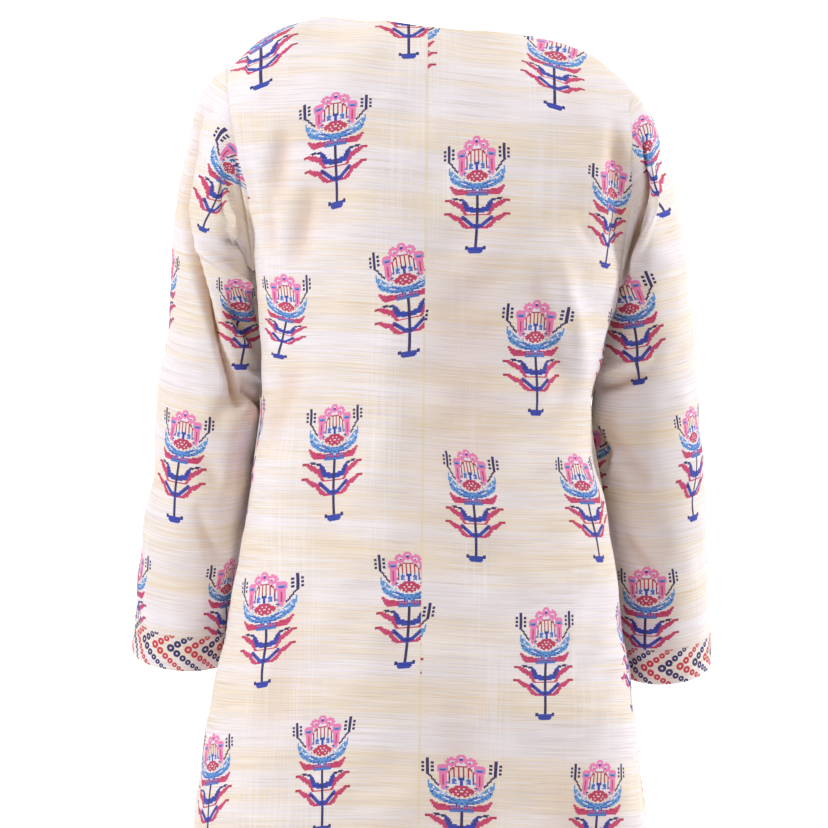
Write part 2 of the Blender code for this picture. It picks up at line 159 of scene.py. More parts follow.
RingRow = namedtuple("RingRow", "along outer_left outer_right outer_down clear inner_down depth "
                                "forward tilt")
RINGS = [
    RingRow(0.000, SHOULDER_HALF, SHOULDER_HALF, SHOULDER_DOWN, 0.0, UNDERARM_DOWN, 0.060, 0.0, 0.0),
    RingRow(0.030, 0.1885, 0.1885, 0.0530, 0.0057, 0.2165, 0.061, 0.001, 0.0),
    RingRow(0.065, 0.1985, 0.1985, 0.0710, 0.0063, 0.2190, 0.062, 0.004, 0.0),
    RingRow(0.130, 0.2080, 0.2095, 0.1040, 0.0022, 0.2280, 0.062, 0.012, 0.0),
    RingRow(0.210, 0.2170, 0.2210, 0.1450, 0.0004, 0.2430, 0.061, 0.021, 0.0),
    RingRow(0.300, 0.2230, 0.2310, 0.1900, 0.0002, 0.2640, 0.059, 0.028, 0.0),
    RingRow(0.410, 0.2285, 0.2385, 0.2450, 0.0002, 0.2940, 0.057, 0.033, 1.0),
    RingRow(0.530, 0.2325, 0.2440, 0.3050, 0.0000, 0.3330, 0.055, 0.036, 3.0),
    RingRow(0.650, 0.2380, 0.2485, 0.3660, 0.0002, 0.3800, 0.054, 0.039, 6.0),
    RingRow(0.770, 0.2460, 0.2530, 0.4300, 0.0004, 0.4380, 0.053, 0.045, 9.0),
    RingRow(0.900, 0.2540, 0.2580, 0.5010, 0.0000, 0.5060, 0.052, 0.057, 12.0),
    RingRow(1.000, 0.2575, 0.2605, 0.5560, -0.0010, 0.5640, 0.052, 0.068, 14.0),
]


class Face(Enum):
    """A torso panel's side of the body, as the sign of Y."""

    BACK = -1.0
    FRONT = 1.0


class Side(Enum):
    """The wearer's side, as the sign of X."""

    LEFT = -1.0
    RIGHT = 1.0


# ---- Creases, each placed one by one ----
# Across and down give a line on the panel, as seen from straight behind or before; bow carries its
# middle sideways. half is its half width; a negative height is a trough.
Crease = namedtuple("Crease", "across0 down0 across1 down1 half height bow", defaults=(0.0,))
CREASES = {
    Face.BACK: [
        # The largest folds
        Crease(-0.120, 0.100, -0.133, 0.170, 0.0095, -0.0074),
        Crease(-0.096, 0.148, -0.114, 0.222, 0.0104, -0.0068),
        Crease(-0.136, 0.160, -0.133, 0.215, 0.0066, -0.0054),
        Crease(-0.110, 0.300, -0.138, 0.372, 0.0133, -0.0074),
        Crease(0.107, 0.185, 0.143, 0.338, 0.0104, 0.0074, 0.004),
        Crease(0.092, 0.205, 0.124, 0.335, 0.0123, -0.0047),
        Crease(0.160, 0.070, 0.170, 0.195, 0.0095, -0.0108, 0.003),
        Crease(0.060, 0.700, 0.100, LENGTH, 0.0323, 0.0108),
        Crease(0.128, 0.620, 0.168, LENGTH, 0.0266, -0.0095),
        Crease(-0.050, 0.780, -0.066, LENGTH, 0.0304, -0.0101),
        Crease(-0.125, 0.680, -0.160, LENGTH, 0.0304, 0.0108),
        # Lesser ones
        Crease(0.129, 0.168, 0.146, 0.188, 0.0045, -0.0026),
        Crease(-0.022, 0.160, -0.030, 0.560, 0.028, 0.0040, -0.004),
        Crease(0.030, 0.170, 0.040, 0.430, 0.036, -0.0040),
        Crease(0.1307, 0.440, 0.1270, 0.640, 0.0022, 0.0007),
        Crease(-0.070, 0.120, -0.080, 0.200, 0.013, -0.0020),
        Crease(-0.066, 0.330, -0.092, 0.470, 0.018, -0.0024, 0.005),
        Crease(0.074, 0.360, 0.096, 0.520, 0.016, 0.0026, -0.004),
        Crease(0.120, 0.030, 0.138, 0.100, 0.014, -0.0026),
        Crease(-0.126, 0.030, -0.138, 0.085, 0.014, -0.0024),
        Crease(-0.105, 0.480, -0.135, 0.640, 0.020, -0.0036),
        Crease(0.030, 0.560, 0.052, 0.760, 0.022, -0.0034),
        Crease(0.110, 0.720, 0.086, 0.830, 0.014, -0.0028),
    ],
    Face.FRONT: [
        # The largest folds
        Crease(0.118, 0.195, 0.085, 0.255, 0.015, -0.0040),
        Crease(-0.120, 0.205, -0.090, 0.262, 0.014, -0.0040),
        Crease(0.105, 0.300, 0.132, 0.390, 0.016, -0.0045),
        Crease(-0.110, 0.318, -0.136, 0.400, 0.016, 0.0045),
        Crease(0.020, 0.640, 0.034, LENGTH, 0.034, 0.0080),
        Crease(0.108, 0.600, 0.148, LENGTH, 0.030, -0.0075),
        Crease(-0.070, 0.700, -0.092, LENGTH, 0.032, -0.0080),
        Crease(-0.140, 0.660, -0.182, LENGTH, 0.028, 0.0070),
        # Lesser ones
        Crease(0.150, 0.080, 0.158, 0.190, 0.010, -0.0060, -0.003),
        Crease(-0.148, 0.075, -0.152, 0.180, 0.010, -0.0060, 0.003),
        Crease(0.112, 0.110, 0.100, 0.190, 0.010, -0.0030),
        Crease(-0.104, 0.120, -0.096, 0.215, 0.012, -0.0028),
        Crease(0.040, 0.180, 0.070, 0.300, 0.020, -0.0026, 0.005),
        Crease(-0.050, 0.280, -0.078, 0.440, 0.020, 0.0028, -0.005),
        Crease(0.020, 0.380, 0.012, 0.600, 0.022, -0.0030),
        Crease(-0.118, 0.480, -0.140, 0.660, 0.018, -0.0036),
        Crease(0.130, 0.420, 0.150, 0.560, 0.016, 0.0030),
    ],
}

# The same on a sleeve: share of the way down and turn in degrees (0 outer, 90 back, 180 inner,
# 270 front) at both ends; half as a share of the length.
SleeveCrease = namedtuple("SleeveCrease", "along0 turn0 along1 turn1 half height")
SLEEVE_CREASES = {
    Side.LEFT: [
        # Behind: the pull from the elbow up to the armpit, with the cloth hanging over it
        SleeveCrease(0.07, 26.0, 0.27, 52.0, 0.015, -0.0115),
        SleeveCrease(0.25, 46.0, 0.43, 102.0, 0.014, -0.0175),
        SleeveCrease(0.40, 92.0, 0.56, 130.0, 0.015, -0.0125),
        SleeveCrease(0.275, 64.0, 0.225, 146.0, 0.013, 0.0125),
        SleeveCrease(0.20, 98.0, 0.05, 150.0, 0.006, -0.0050),
        SleeveCrease(0.06, 106.0, 0.16, 112.0, 0.015, 0.0060),
        SleeveCrease(0.07, 88.0, 0.14, 94.0, 0.007, -0.0036),
        SleeveCrease(0.006, 78.0, 0.006, 168.0, 0.007, -0.0085),
        SleeveCrease(0.33, 108.0, 0.38, 160.0, 0.028, -0.0130),
        SleeveCrease(0.47, 128.0, 0.485, 166.0, 0.009, 0.0064),
        SleeveCrease(0.51, 130.0, 0.55, 166.0, 0.012, -0.0072),
        SleeveCrease(0.46, 150.0, 0.60, 95.0, 0.026, -0.0050),
        SleeveCrease(0.63, 66.0, 0.70, 116.0, 0.015, -0.0034),
        SleeveCrease(0.84, 128.0, 0.74, 88.0, 0.016, -0.0040),
        # The inner side pressed against the body
        SleeveCrease(0.08, 166.0, 0.24, 166.0, 0.030, 0.0060),
        # Before
        SleeveCrease(0.60, 250.0, 0.52, 170.0, 0.030, -0.0045),
        SleeveCrease(0.14, 236.0, 0.36, 290.0, 0.030, -0.0040),
        SleeveCrease(0.04, 222.0, 0.10, 262.0, 0.016, -0.0040),
        SleeveCrease(0.44, 214.0, 0.40, 282.0, 0.018, -0.0045),
        SleeveCrease(0.70, 232.0, 0.66, 300.0, 0.020, -0.0030),
    ],
    Side.RIGHT: [
        # Behind
        SleeveCrease(0.034, 58.0, 0.046, 106.0, 0.011, -0.0125),
        SleeveCrease(0.044, 100.0, 0.022, 166.0, 0.014, -0.0150),
        SleeveCrease(0.065, 112.0, 0.17, 168.0, 0.022, -0.0085),
        SleeveCrease(0.10, 60.0, 0.16, 124.0, 0.025, 0.0060),
        SleeveCrease(0.20, 150.0, 0.34, 110.0, 0.020, -0.0048),
        SleeveCrease(0.425, 164.0, 0.445, 84.0, 0.012, 0.0065),
        SleeveCrease(0.465, 160.0, 0.480, 88.0, 0.012, -0.0080),
        SleeveCrease(0.57, 166.0, 0.64, 138.0, 0.027, -0.0125),
        SleeveCrease(0.55, 146.0, 0.68, 92.0, 0.022, -0.0050),
        SleeveCrease(0.76, 142.0, 0.83, 96.0, 0.014, -0.0042),
        # Before
        SleeveCrease(0.58, 246.0, 0.50, 172.0, 0.030, -0.0045),
        SleeveCrease(0.16, 230.0, 0.34, 282.0, 0.030, -0.0040),
        SleeveCrease(0.03, 218.0, 0.09, 256.0, 0.016, -0.0045),
        SleeveCrease(0.42, 208.0, 0.46, 276.0, 0.016, -0.0040),
        SleeveCrease(0.72, 226.0, 0.65, 292.0, 0.022, -0.0030),
    ],
}

# Shares of a crease's line over which it grows and fades, and how abruptly the side seam ends it
CREASE_GROWS = (-0.1, 0.35)
CREASE_FADES = (0.65, 1.1)
SEAM_HOLD = 8

# A sleeve's troughs are shallower on its inner side near the armhole, where the panel lies close.
INNER_TURN = 34.0
INNER_HOLD = 0.85
INNER_FADES = (0.30, 0.45)
# Shares of the way down at which its creases die out
ARMHOLE_FADE = (0.0, 0.018)
CUFF_FADE = (0.80, 0.94)
PUCKERS_FROM = (0.0, 0.05)     # over which its puckers grow
OVAL_FROM = (0.0, 0.30)    # over which the armhole's outline turns into an oval

# Slight puckers all over: waves of these lengths and heights, in directions drawn from a seed.
PuckerRow = namedtuple("PuckerRow", "length height count")
PUCKERS = [
    PuckerRow(0.120, 0.0009, 5),
    PuckerRow(0.060, 0.0004, 7),
    PuckerRow(0.028, 0.00016, 9),
]
PUCKER_SPREAD = (0.7, 1.3)     # by how many times a wave is shorter than its row says

# ---- The print: a flower on a two-leaved stem, charted in stitches ----
# Each line is one row from the middle stitch outwards, the two halves being alike. p pink, r rose,
# c crimson, s sky blue, b royal blue, n navy, w white, and a dot is bare cloth.
FLOWER = """
pp......................
ppp.....................
wpp..pp.................
bpppppppp...........nn..
bpppppppp...........nn..
ppppwwwppp..........nn..
pwpppnwppp.......nn.nn.n
wwwpppppp........nn.nn.n
wwwppppppppppp......nn..
ccccwppwppppppp..nn.nn.n
.c..ccwwppppppp..nn.nn.n
.c..cccwpsssssp.....nn..
.c..c.cwpsbbbsp..nn.nn.n
.c..c..cppppppp..nn.nn.n
.c..c..cpppppp......nn..
.c..c..cwppppp......nn..
.c..c..cwppcpp.....nn...
.n..c..nwpprpp....nn....
bnwwswwnwppcpp....n.....
bnwsbswnwpprpp...nn.....
bwwbsbwcwppcpp..nn..s...
bwwwbswcspprpp..n...s...
bwwbsbwcsspcpp.nn..ws...
bwwwwwwwwpprppnn..sss...
rcrcwwww.pppp.n..ssss...
crcrc...nnppp...swsss...
rwrcrcr..sspp..sswss....
crcrcrcrpp.p..ssssws....
wcrwrcrc..w..ssswsbs....
crcrcrcr.s.wswwwssbs....
rcwcrwr...swwswssss.....
crcrc...wswssssssss.....
wcr....ssbbssssbss......
....sssbbswwsbsss.......
sbsssbbswwsbsss.........
ssssbssssbssss....rr....
ssbssssbsbbs.....rrr....
bssbbbbbs......rrrr.....
sssb......rrrrrrrrr.....
.brbrbrbrrrcccrrrr......
srsrsrsccrrrrrrrrr......
brbrbrbrrrrrrrrrr.......
sbsbsbsbrrrrrrrr........
bsbsbsbs................
n.......................
n.............nnnn......
n.........nnnnnnn.rrccc.
n........bbnn...rrrrccc.
n.......bbb...rrrrrr....
n......bbnb..rrrrrr.....
n......bnbbrrrrrrr......
n.....bbnbrrrrrrr.......
n.....bnbbrrrrr.........
n..bbbbbbbrrrr..........
nbbbbbbbbrrr............
nbbbbbbbbrrr............
nbbbbbbbrrr.............
nbbbb...rr........rcccc.
n......rrr.......rrrccc.
nrrrrrrrr......rrrrr....
n........bb..rrrrrr.....
n.......bbbrrrrrrr......
n......bnnbrrrrrr.......
n.....bnnbrrrrrr........
n....bbbb.rrr...........
n...bbbb.rrrr...........
b..bbbb.rrrr............
bbbbbb.rrrr.............
nbbbb.rrrrr.............
nbbbrrrrrr..............
bbrrrrrr................
b.......................
n.......................
n.......................
n.......................
n.......................
n.......................
n.......................
n.......................
n.......................
n.......................
n.......................
n.......................
n.......................
n.......................
n....nn.................
bbbbbnn.................
bbbbbnb.................
bbbbb...................
bbbbb...................
bbbb....................
........................
""".split()
STITCH_WIDTH = 0.00122
STITCH_HEIGHT = 0.00106
COLUMN_PITCH = 0.0605      # from one column of flowers to the next
REPEAT = 0.2625            # down a column; the next column is half of this lower
MEASURED_FROM = 0.30       # the level on a panel from which its cloth is measured up and down
WEFT_BOW = -0.55           # how the weft bows in the flared skirt, for each square metre from the middle

# Where stitches of single flowers are seen on a piece, in pixels from the frame's upper left corner. A
# flower is named by its column and its number down the column; stitch counts from its middle and row
# from its top.
Pin = namedtuple("Pin", "x y column flower stitch row")
PIN_BLUR = 0.3      # pixels by which a pin may be misread, so that no point of the cloth weighs all
PINS = {
    "back_left": [
        Pin(408.7, 58, 0, -1, 0, 90), Pin(408.5, 24, 0, -1, 0, 56), Pin(404, 243, 0, 0, 0, 0),
        Pin(405, 297, 0, 0, 0, 43), Pin(409, 357, 0, 0, 0, 91), Pin(407, 552.2, 0, 1, 0, 0),
        Pin(404, 668.6, 0, 1, 0, 91), Pin(380.5, 560, 0, 1, -21.5, 6),
        Pin(336.6, 96.3, -1, 0, 0, 0), Pin(337, 208, -1, 0, 0, 91), Pin(334.8, 404.1, -1, 1, 0, 0),
        Pin(334, 521, -1, 1, 0, 91), Pin(311.5, 416, -1, 1, -21.5, 8),
        Pin(360.3, 407.5, -1, 1, 21.5, 8), Pin(322.6, 715.3, -1, 2, 0, 0),
        Pin(321.9, 826, -1, 2, 0, 86), Pin(298, 769, -1, 2, -21.5, 41),
        Pin(347, 761.6, -1, 2, 21.5, 39), Pin(261.4, 88, -2, -1, 0, 91),
        Pin(261.4, 50.4, -2, -1, 0, 45), Pin(240.3, 58, -2, -1, -18, 41),
        Pin(291, 29, -2, -1, 18, 38), Pin(283.2, 274.3, -2, 0, 0, 0), Pin(288, 322, -2, 0, 0, 43),
        Pin(277, 357, -2, 0, 0, 91), Pin(300, 319, -2, 0, 18, 40), Pin(264, 572, -2, 1, 0, 0),
        Pin(262, 688, -2, 1, 0, 91), Pin(287, 576, -2, 1, 21.5, 5), Pin(215.3, 733.5, -3, 2, 0, 0),
        Pin(211, 783.3, -3, 2, 0, 43), Pin(208.2, 821.2, -3, 2, 0, 70),
    ],
    "back_right": [
        Pin(434, 44, -1, 0, 20, 38), Pin(434, 66.6, -1, 0, 21.8, 60),
        Pin(427.5, 610, -1, 2, 21.5, 8), Pin(438, 613, -1, 2, 29, 10),
        Pin(427.5, 352, -1, 1, 25, 41), Pin(427.5, 376, -1, 1, 25, 60),
        Pin(424, 662.4, -1, 2, 21.8, 50), Pin(474, 138, 0, 0, 0, 0), Pin(475, 253, 0, 0, 0, 91),
        Pin(447, 147, 0, 0, -21.5, 6), Pin(504, 147, 0, 0, 21.5, 6), Pin(467, 449, 0, 1, 0, 0),
        Pin(445.2, 457, 0, 1, -21.5, 6), Pin(490, 461, 0, 1, 21.5, 8),
        Pin(446.3, 508.5, 0, 1, -22.5, 47.7), Pin(503.2, 510.3, 0, 1, 22.5, 47.7),
        Pin(476, 562, 0, 1, 0, 91), Pin(465, 757, 0, 2, 0, 0), Pin(462, 811, 0, 2, 0, 43),
        Pin(551.2, 39.6, 1, 0, 0, 0), Pin(554.3, 68.9, 1, 0, 0, 45), Pin(555, 109, 1, 0, 0, 91),
        Pin(529, 57.4, 1, 0, -18, 40), Pin(577.3, 72.9, 1, 0, 18, 40), Pin(537, 300, 1, 1, 0, 0),
        Pin(537, 416, 1, 1, 0, 91), Pin(546, 607, 1, 2, 0, 0), Pin(544, 723, 1, 2, 0, 91),
        Pin(521, 620, 1, 2, -21.5, 8), Pin(569, 615, 1, 2, 21.5, 6), Pin(613, 160, 2, 0, 0, 0),
        Pin(613.4, 212, 2, 0, 0, 44), Pin(604.6, 268, 2, 0, 0, 91), Pin(592, 203, 2, 0, -20, 36),
        Pin(625, 209, 2, 0, 20, 36), Pin(595, 163, 2, 0, -21, 5), Pin(591, 216, 2, 0, -21.8, 48),
        Pin(575.2, 453.3, 2, 1, 0, 0), Pin(588.4, 503, 2, 1, 0, 43), Pin(600.5, 562.4, 2, 1, 0, 91),
        Pin(600, 760, 2, 2, 0, 0), Pin(597, 815, 2, 2, 0, 43),
    ],
    "sleeve_left": [
        Pin(217, 141, 0, 0, -21, 15), Pin(227, 131, 0, 0, -21, 3), Pin(229, 167, 0, 0, 0, 29),
        Pin(213, 147, 0, 0, -21, 21), Pin(243, 187, 0, 0, 20, 22), Pin(208, 162, 0, 0, -20, 35),
        Pin(223, 183, 0, 0, 0, 42), Pin(203, 229, 0, 0, 0, 88), Pin(202, 177, 0, 0, -21.8, 47),
        Pin(196, 189, 0, 0, -21.8, 59), Pin(213, 208, 0, 0, 0, 66), Pin(227, 206, 0, 0, 24, 62),
        Pin(227, 194, 0, 0, 23, 52), Pin(186.1, 410.6, 0, 1, 0, 0), Pin(178.9, 461.4, 0, 1, 0, 43),
        Pin(173.7, 522.7, 0, 1, 0, 91), Pin(210.5, 426, 0, 1, 21.5, 10),
        Pin(201.3, 460.5, 0, 1, 18, 40), Pin(243, 278, 1, 1, 0, 0), Pin(243, 318, 1, 1, 0, 40),
        Pin(240, 366, 1, 1, 0, 88), Pin(219, 281, 1, 1, -21.5, 6),
        Pin(211.4, 568.7, 1, 2, -21.5, 6), Pin(209.5, 606, 1, 2, -18, 41),
        Pin(205.7, 631, 1, 2, -21.8, 60), Pin(178, 262, -1, 1, 21.5, 8),
        Pin(148.6, 562, -1, 2, 21.5, 8),
    ],
    "sleeve_right": [
        Pin(641, 116, 1, 1, 0, 0), Pin(646, 142, 1, 1, 0, 25), Pin(651, 165, 1, 1, 0, 43),
        Pin(656, 193, 1, 1, 0, 69), Pin(667, 216, 1, 1, 0, 91), Pin(657, 130, 1, 1, 21, 20),
        Pin(633, 147, 1, 1, -21, 20), Pin(662, 205, 1, 1, 0, 80), Pin(660, 164, 1, 1, 21.8, 47.5),
        Pin(646, 172, 1, 1, -21.8, 47.5), Pin(627, 275, 0, 1, 0, 0), Pin(635, 327, 0, 1, 0, 43),
        Pin(638.6, 385, 0, 1, 0, 91), Pin(656, 318, 0, 1, 18, 40), Pin(610, 327, 0, 1, -18, 43),
        Pin(647, 566.7, 0, 2, 0, 0), Pin(645, 617.8, 0, 2, 0, 43), Pin(645, 647, 0, 2, 0, 70),
        Pin(673.7, 572, 0, 2, 21.5, 6), Pin(690, 406.5, 1, 2, 0, 0), Pin(683, 425, 1, 2, -15, 14),
        Pin(683, 468, 1, 2, -19, 50), Pin(692, 496.3, 1, 2, 0, 70), Pin(694, 521, 1, 2, 0, 91),
    ],
}

RAMPS, RAMP_STEPS = 3, 32    # how many stepped ramps hold the chart, and the rows that one holds
INKS = {
    ".": (1.0, 1.0, 1.0),
    "p": (0.84, 0.22, 0.47),
    "r": (0.58, 0.045, 0.15),
    "c": (0.46, 0.028, 0.065),
    "s": (0.10, 0.31, 0.66),
    "b": (0.022, 0.050, 0.40),
    "n": (0.026, 0.018, 0.120),
    "w": (0.82, 0.78, 0.84),
}

# The band's print: rings on nested arrows that point to one side. Outer radii from the tip outwards.
RING_RADII = (0.0035, 0.0032, 0.0028, 0.0025, 0.0022, 0.0019, 0.0016)
RING_LINE = 0.0025         # how thick a ring's line is at most
RING_FILL = 0.74           # and by what share of its radius
RING_GAP = 0.0006          # between two rings of an arm
RING_PITCH = 0.0158        # from one arrow to the next
RING_ARM = 35.0            # an arm's slope in degrees
RING_TIP_DOWN = 0.0072     # how far down the band the tips lie
RING_INKS = ((0.022, 0.020, 0.14, 1), (0.60, 0.040, 0.065, 1))


# ---- Curves and the form's surfaces ----
def smooth(rows: list, knot: str, column: str, at: np.ndarray) -> np.ndarray:
    """Cubic curve through a table's rows, whose slope at a row is that between its neighbours.

    Args:
        rows: The table.
        knot: The column that places each row.
        column: The column to follow.
        at: Where to read the curve.

    Returns:
        The column's value at each place.
    """
    knots = np.array([getattr(row, knot) for row in rows])
    values = np.array([getattr(row, column) for row in rows])
    slopes = np.gradient(values, knots)
    at = np.clip(at, knots[0], knots[-1])
    i = np.clip(np.searchsorted(knots, at) - 1, 0, len(knots) - 2)
    step = knots[i + 1] - knots[i]
    s = (at - knots[i]) / step
    return ((1 + 2 * s) * (1 - s) ** 2 * values[i] + s * (1 - s) ** 2 * step * slopes[i]
            + s * s * (3 - 2 * s) * values[i + 1] - s * s * (1 - s) * step * slopes[i + 1])


def ease(low: float, high: float, value: np.ndarray) -> np.ndarray:
    """Rises smoothly from 0 to 1.

    Args:
        low: Where it leaves 0.
        high: Where it reaches 1.
        value: Where to read it.

    Returns:
        The risen share at each value.
    """
    s = np.clip((value - low) / (high - low), 0.0, 1.0)
    return s * s * (3 - 2 * s)


def half_width(down: np.ndarray, across: np.ndarray) -> np.ndarray:
    """Half width of the torso's section.

    Args:
        down: Distance below the neck points.
        across: Its sign gives the side.

    Returns:
        The half width on that side.
    """
    side = np.where(across < 0, smooth(WIDTHS, "down", "left", down),
                    smooth(WIDTHS, "down", "right", down))
    above = np.clip(UNDERARM_DOWN - down, 0.0, None)
    return np.where(above > 0, smooth(ARMHOLE, "down", "half", down) + ARM_FLARE * above ** 2, side)


def ridge_down(across: np.ndarray) -> np.ndarray:
    """How far the shoulder ridge lies below the neck points.

    Args:
        across: Distance from the middle.

    Returns:
        The ridge's distance down.
    """
    return smooth(RIDGE, "half", "down", np.abs(across))


def sway(down: np.ndarray) -> np.ndarray:
    """How far the section's sides stand aside.

    Args:
        down: Distances below the neck point.

    Returns:
        The shifts towards +X.
    """
    return SWAY * ease(*SWAY_GROWS, down) * (1 - ease(*SWAY_FADES, down))


def surface_depth(across: np.ndarray, down: np.ndarray, face: Face) -> np.ndarray:
    """Distance of a panel's cloth from the plane of the side seams, with its sign.

    Args:
        across: Distance from the middle.
        down: Distance below the neck points.
        face: The panel's side of the body.

    Returns:
        Y of the cloth. The section is a squared oval, and near the ridge it rolls over the shoulder
        on a quarter circle.
    """
    depth = smooth(DEPTHS, "down", face.name.lower(), down)
    share = np.clip(np.abs(across) / half_width(down, across), 0.0, 1.0)
    section = (1 - share ** SQUARENESS) ** (1 / SQUARENESS)
    under = np.clip((down - ridge_down(across)) / SHOULDER_ROLL, 0.0, 1.0)
    return face.value * depth * section * np.sqrt(1 - (1 - under) ** 2)


def top_down(across: np.ndarray, face: Face) -> np.ndarray:
    """A panel's upper edge: the neck curve, and the shoulder seam beyond the neck points.

    Args:
        across: Distance from the middle.
        face: The panel's side of the body.

    Returns:
        The edge's distance down.
    """
    share = np.clip(np.abs(across) / NECK_HALF, 0.0, 1.0)
    if face is Face.BACK:
        neck = NECK_DROP_BACK * (1 - share ** NECK_ROUND_BACK)
    else:
        neck = NECK_DROP_FRONT * np.sqrt(1 - share ** 2)
    return np.where(np.abs(across) < NECK_HALF, neck, ridge_down(across))


def tilted(points: np.ndarray) -> np.ndarray:
    """Carries the left shoulder higher than the right one, less and less towards the hem.

    Args:
        points: Points of the level form.

    Returns:
        The moved points.
    """
    lift = SHOULDER_TILT * (1 - 2 * ease(-NECK_HALF, NECK_HALF, points[..., 0]))
    moved = points.copy()
    moved[..., 2] += lift * (1 + points[..., 2] / LENGTH)
    return moved


def row_downs() -> np.ndarray:
    """Where each row meets the armhole and then the side seam.

    Returns:
        The rows' distances down.
    """
    turn = np.linspace(0.0, math.pi, ARMHOLE_ROWS + 1)
    armhole = SHOULDER_DOWN + (UNDERARM_DOWN - SHOULDER_DOWN) * (1 - np.cos(turn)) / 2
    skirt = np.linspace(UNDERARM_DOWN, LENGTH, SKIRT_ROWS + 1)[1:]
    return np.concatenate([armhole, skirt])


def half_columns() -> np.ndarray:
    """Column places from 0 at the centre to 1 at the armhole, closer together towards the neck point.

    Returns:
        The places. Those within the neck are equal turns of its oval apart.
    """
    top_half = half_width(np.array(SHOULDER_DOWN), np.array(1.0))
    neck_turn = np.linspace(0.0, math.pi / 2, NECK_COLUMNS + 1)
    inner = np.arcsin(NECK_HALF * np.sin(neck_turn) / top_half) / math.asin(SHOULDER_HALF / top_half)
    return np.concatenate([inner, np.linspace(inner[-1], 1.0, SHOULDER_COLUMNS + 1)[1:]])


def panel_surface(face: Face, columns: np.ndarray) -> np.ndarray:
    """A panel's middle surface.

    Args:
        face: The panel's side of the body.
        columns: Column places from -1 at the left edge to 1 at the right edge.

    Returns:
        Points, rows by columns. A column keeps its share of the turn round the section, and the
        rows ease from the neck and shoulder line to level ones at the hem.
    """
    edge_down = row_downs()[:, None]
    side = np.where(columns < 0, -1.0, 1.0)[None, :]
    section = half_width(edge_down, side)
    edge = np.where(edge_down < UNDERARM_DOWN, smooth(ARMHOLE, "down", "half", edge_down), section)
    across = section * np.sin(columns[None, :] * np.arcsin(np.clip(edge / section, 0.0, 1.0)))
    level = (edge_down - SHOULDER_DOWN) / (LENGTH - SHOULDER_DOWN)
    down = edge_down + (top_down(across, face) - SHOULDER_DOWN) * (1 - level) ** ROW_LEVELLING
    aside = sway(down) * (across / section) ** 2
    return np.stack([across + aside, surface_depth(across, down, face), -down], axis=-1)


def grid_normals(points: np.ndarray, closed: bool = False) -> np.ndarray:
    """Unit normals of a grid, from the differences between neighbouring rows and columns.

    Args:
        points: Rows by columns.
        closed: Whether the last column joins the first.

    Returns:
        The normals, along (next column) x (next row).
    """
    down_rows = np.gradient(points, axis=0)
    if closed:
        round_ring = np.roll(points, -1, axis=1) - np.roll(points, 1, axis=1)
    else:
        round_ring = np.gradient(points, axis=1)
    normal = np.cross(round_ring, down_rows)
    return normal / np.maximum(np.linalg.norm(normal, axis=-1, keepdims=True), 1e-12)


def running_length(points: np.ndarray, axis: int) -> np.ndarray:
    """Distance travelled along a grid's rows or columns.

    Args:
        points: Rows by columns.
        axis: 0 to travel down the columns, 1 along the rows.

    Returns:
        The distance from the first row or column to each point.
    """
    steps = np.linalg.norm(np.diff(points, axis=axis), axis=-1)
    start = np.zeros_like(np.take(steps, [0], axis=axis))
    return np.cumsum(np.concatenate([start, steps], axis=axis), axis=axis)


def sleeve_surface(side: Side, alongs: np.ndarray) -> np.ndarray:
    """A sleeve's middle surface, from the armhole to the cuff hem.

    Args:
        side: Which sleeve.
        alongs: Each ring's share of the way down.

    Returns:
        Points, rings by places round the ring from the shoulder point over the back and inner side
        to the front. Each ring is an oval whose long line runs from the arm's outer to its inner
        side; the first rings keep the armhole's own outline.
    """
    sign = side.value
    columns = sign * half_columns()
    rows = slice(0, ARMHOLE_ROWS + 1)
    back = panel_surface(Face.BACK, columns)[rows, -1]
    front = panel_surface(Face.FRONT, columns)[rows, -1]
    loop = np.concatenate([back, front[-2:0:-1]])
    loop[[0, ARMHOLE_ROWS], 1] = 0.0
    turn = np.arange(len(loop)) * 2 * math.pi / len(loop)
    top, under = loop[0], loop[ARMHOLE_ROWS]
    chord = under + (top - under) * ((np.cos(turn) + 1) / 2)[:, None]
    bulge = (loop - chord) * np.array([1.0, 0.0, 0.0])
    outline = loop[:, 1] / RINGS[0].depth

    def column(name: str) -> np.ndarray:
        """One column of the ring table at every ring.

        Args:
            name: The column's name.

        Returns:
            Its values, one a ring.
        """
        return smooth(RINGS, "along", name, alongs)[:, None]

    level = np.zeros((len(alongs), 1))
    outer_side = sign * column("outer_" + side.name.lower())
    inner_side = sign * (half_width(column("inner_down"), np.array(sign)) + column("clear"))
    inner_side += sway(column("inner_down"))
    outer = np.concatenate([outer_side, level, -column("outer_down")], axis=1)
    inner = np.concatenate([inner_side, level, -column("inner_down")], axis=1)
    oval = ease(*OVAL_FROM, alongs)[:, None]
    across = (np.cos(turn)[None, :] + 1) / 2
    reach = ((1 - oval) * outline[None, :] - oval * np.sin(turn)[None, :]) * column("depth")
    tilt = np.radians(column("tilt"))
    points = inner[:, None, :] + (outer - inner)[:, None, :] * across[..., None]
    points[..., 1] += column("forward") + reach * np.cos(tilt)
    points[..., 2] += reach * np.sin(tilt)
    return points + bulge[None, :, :] * (1 - oval)[..., None]


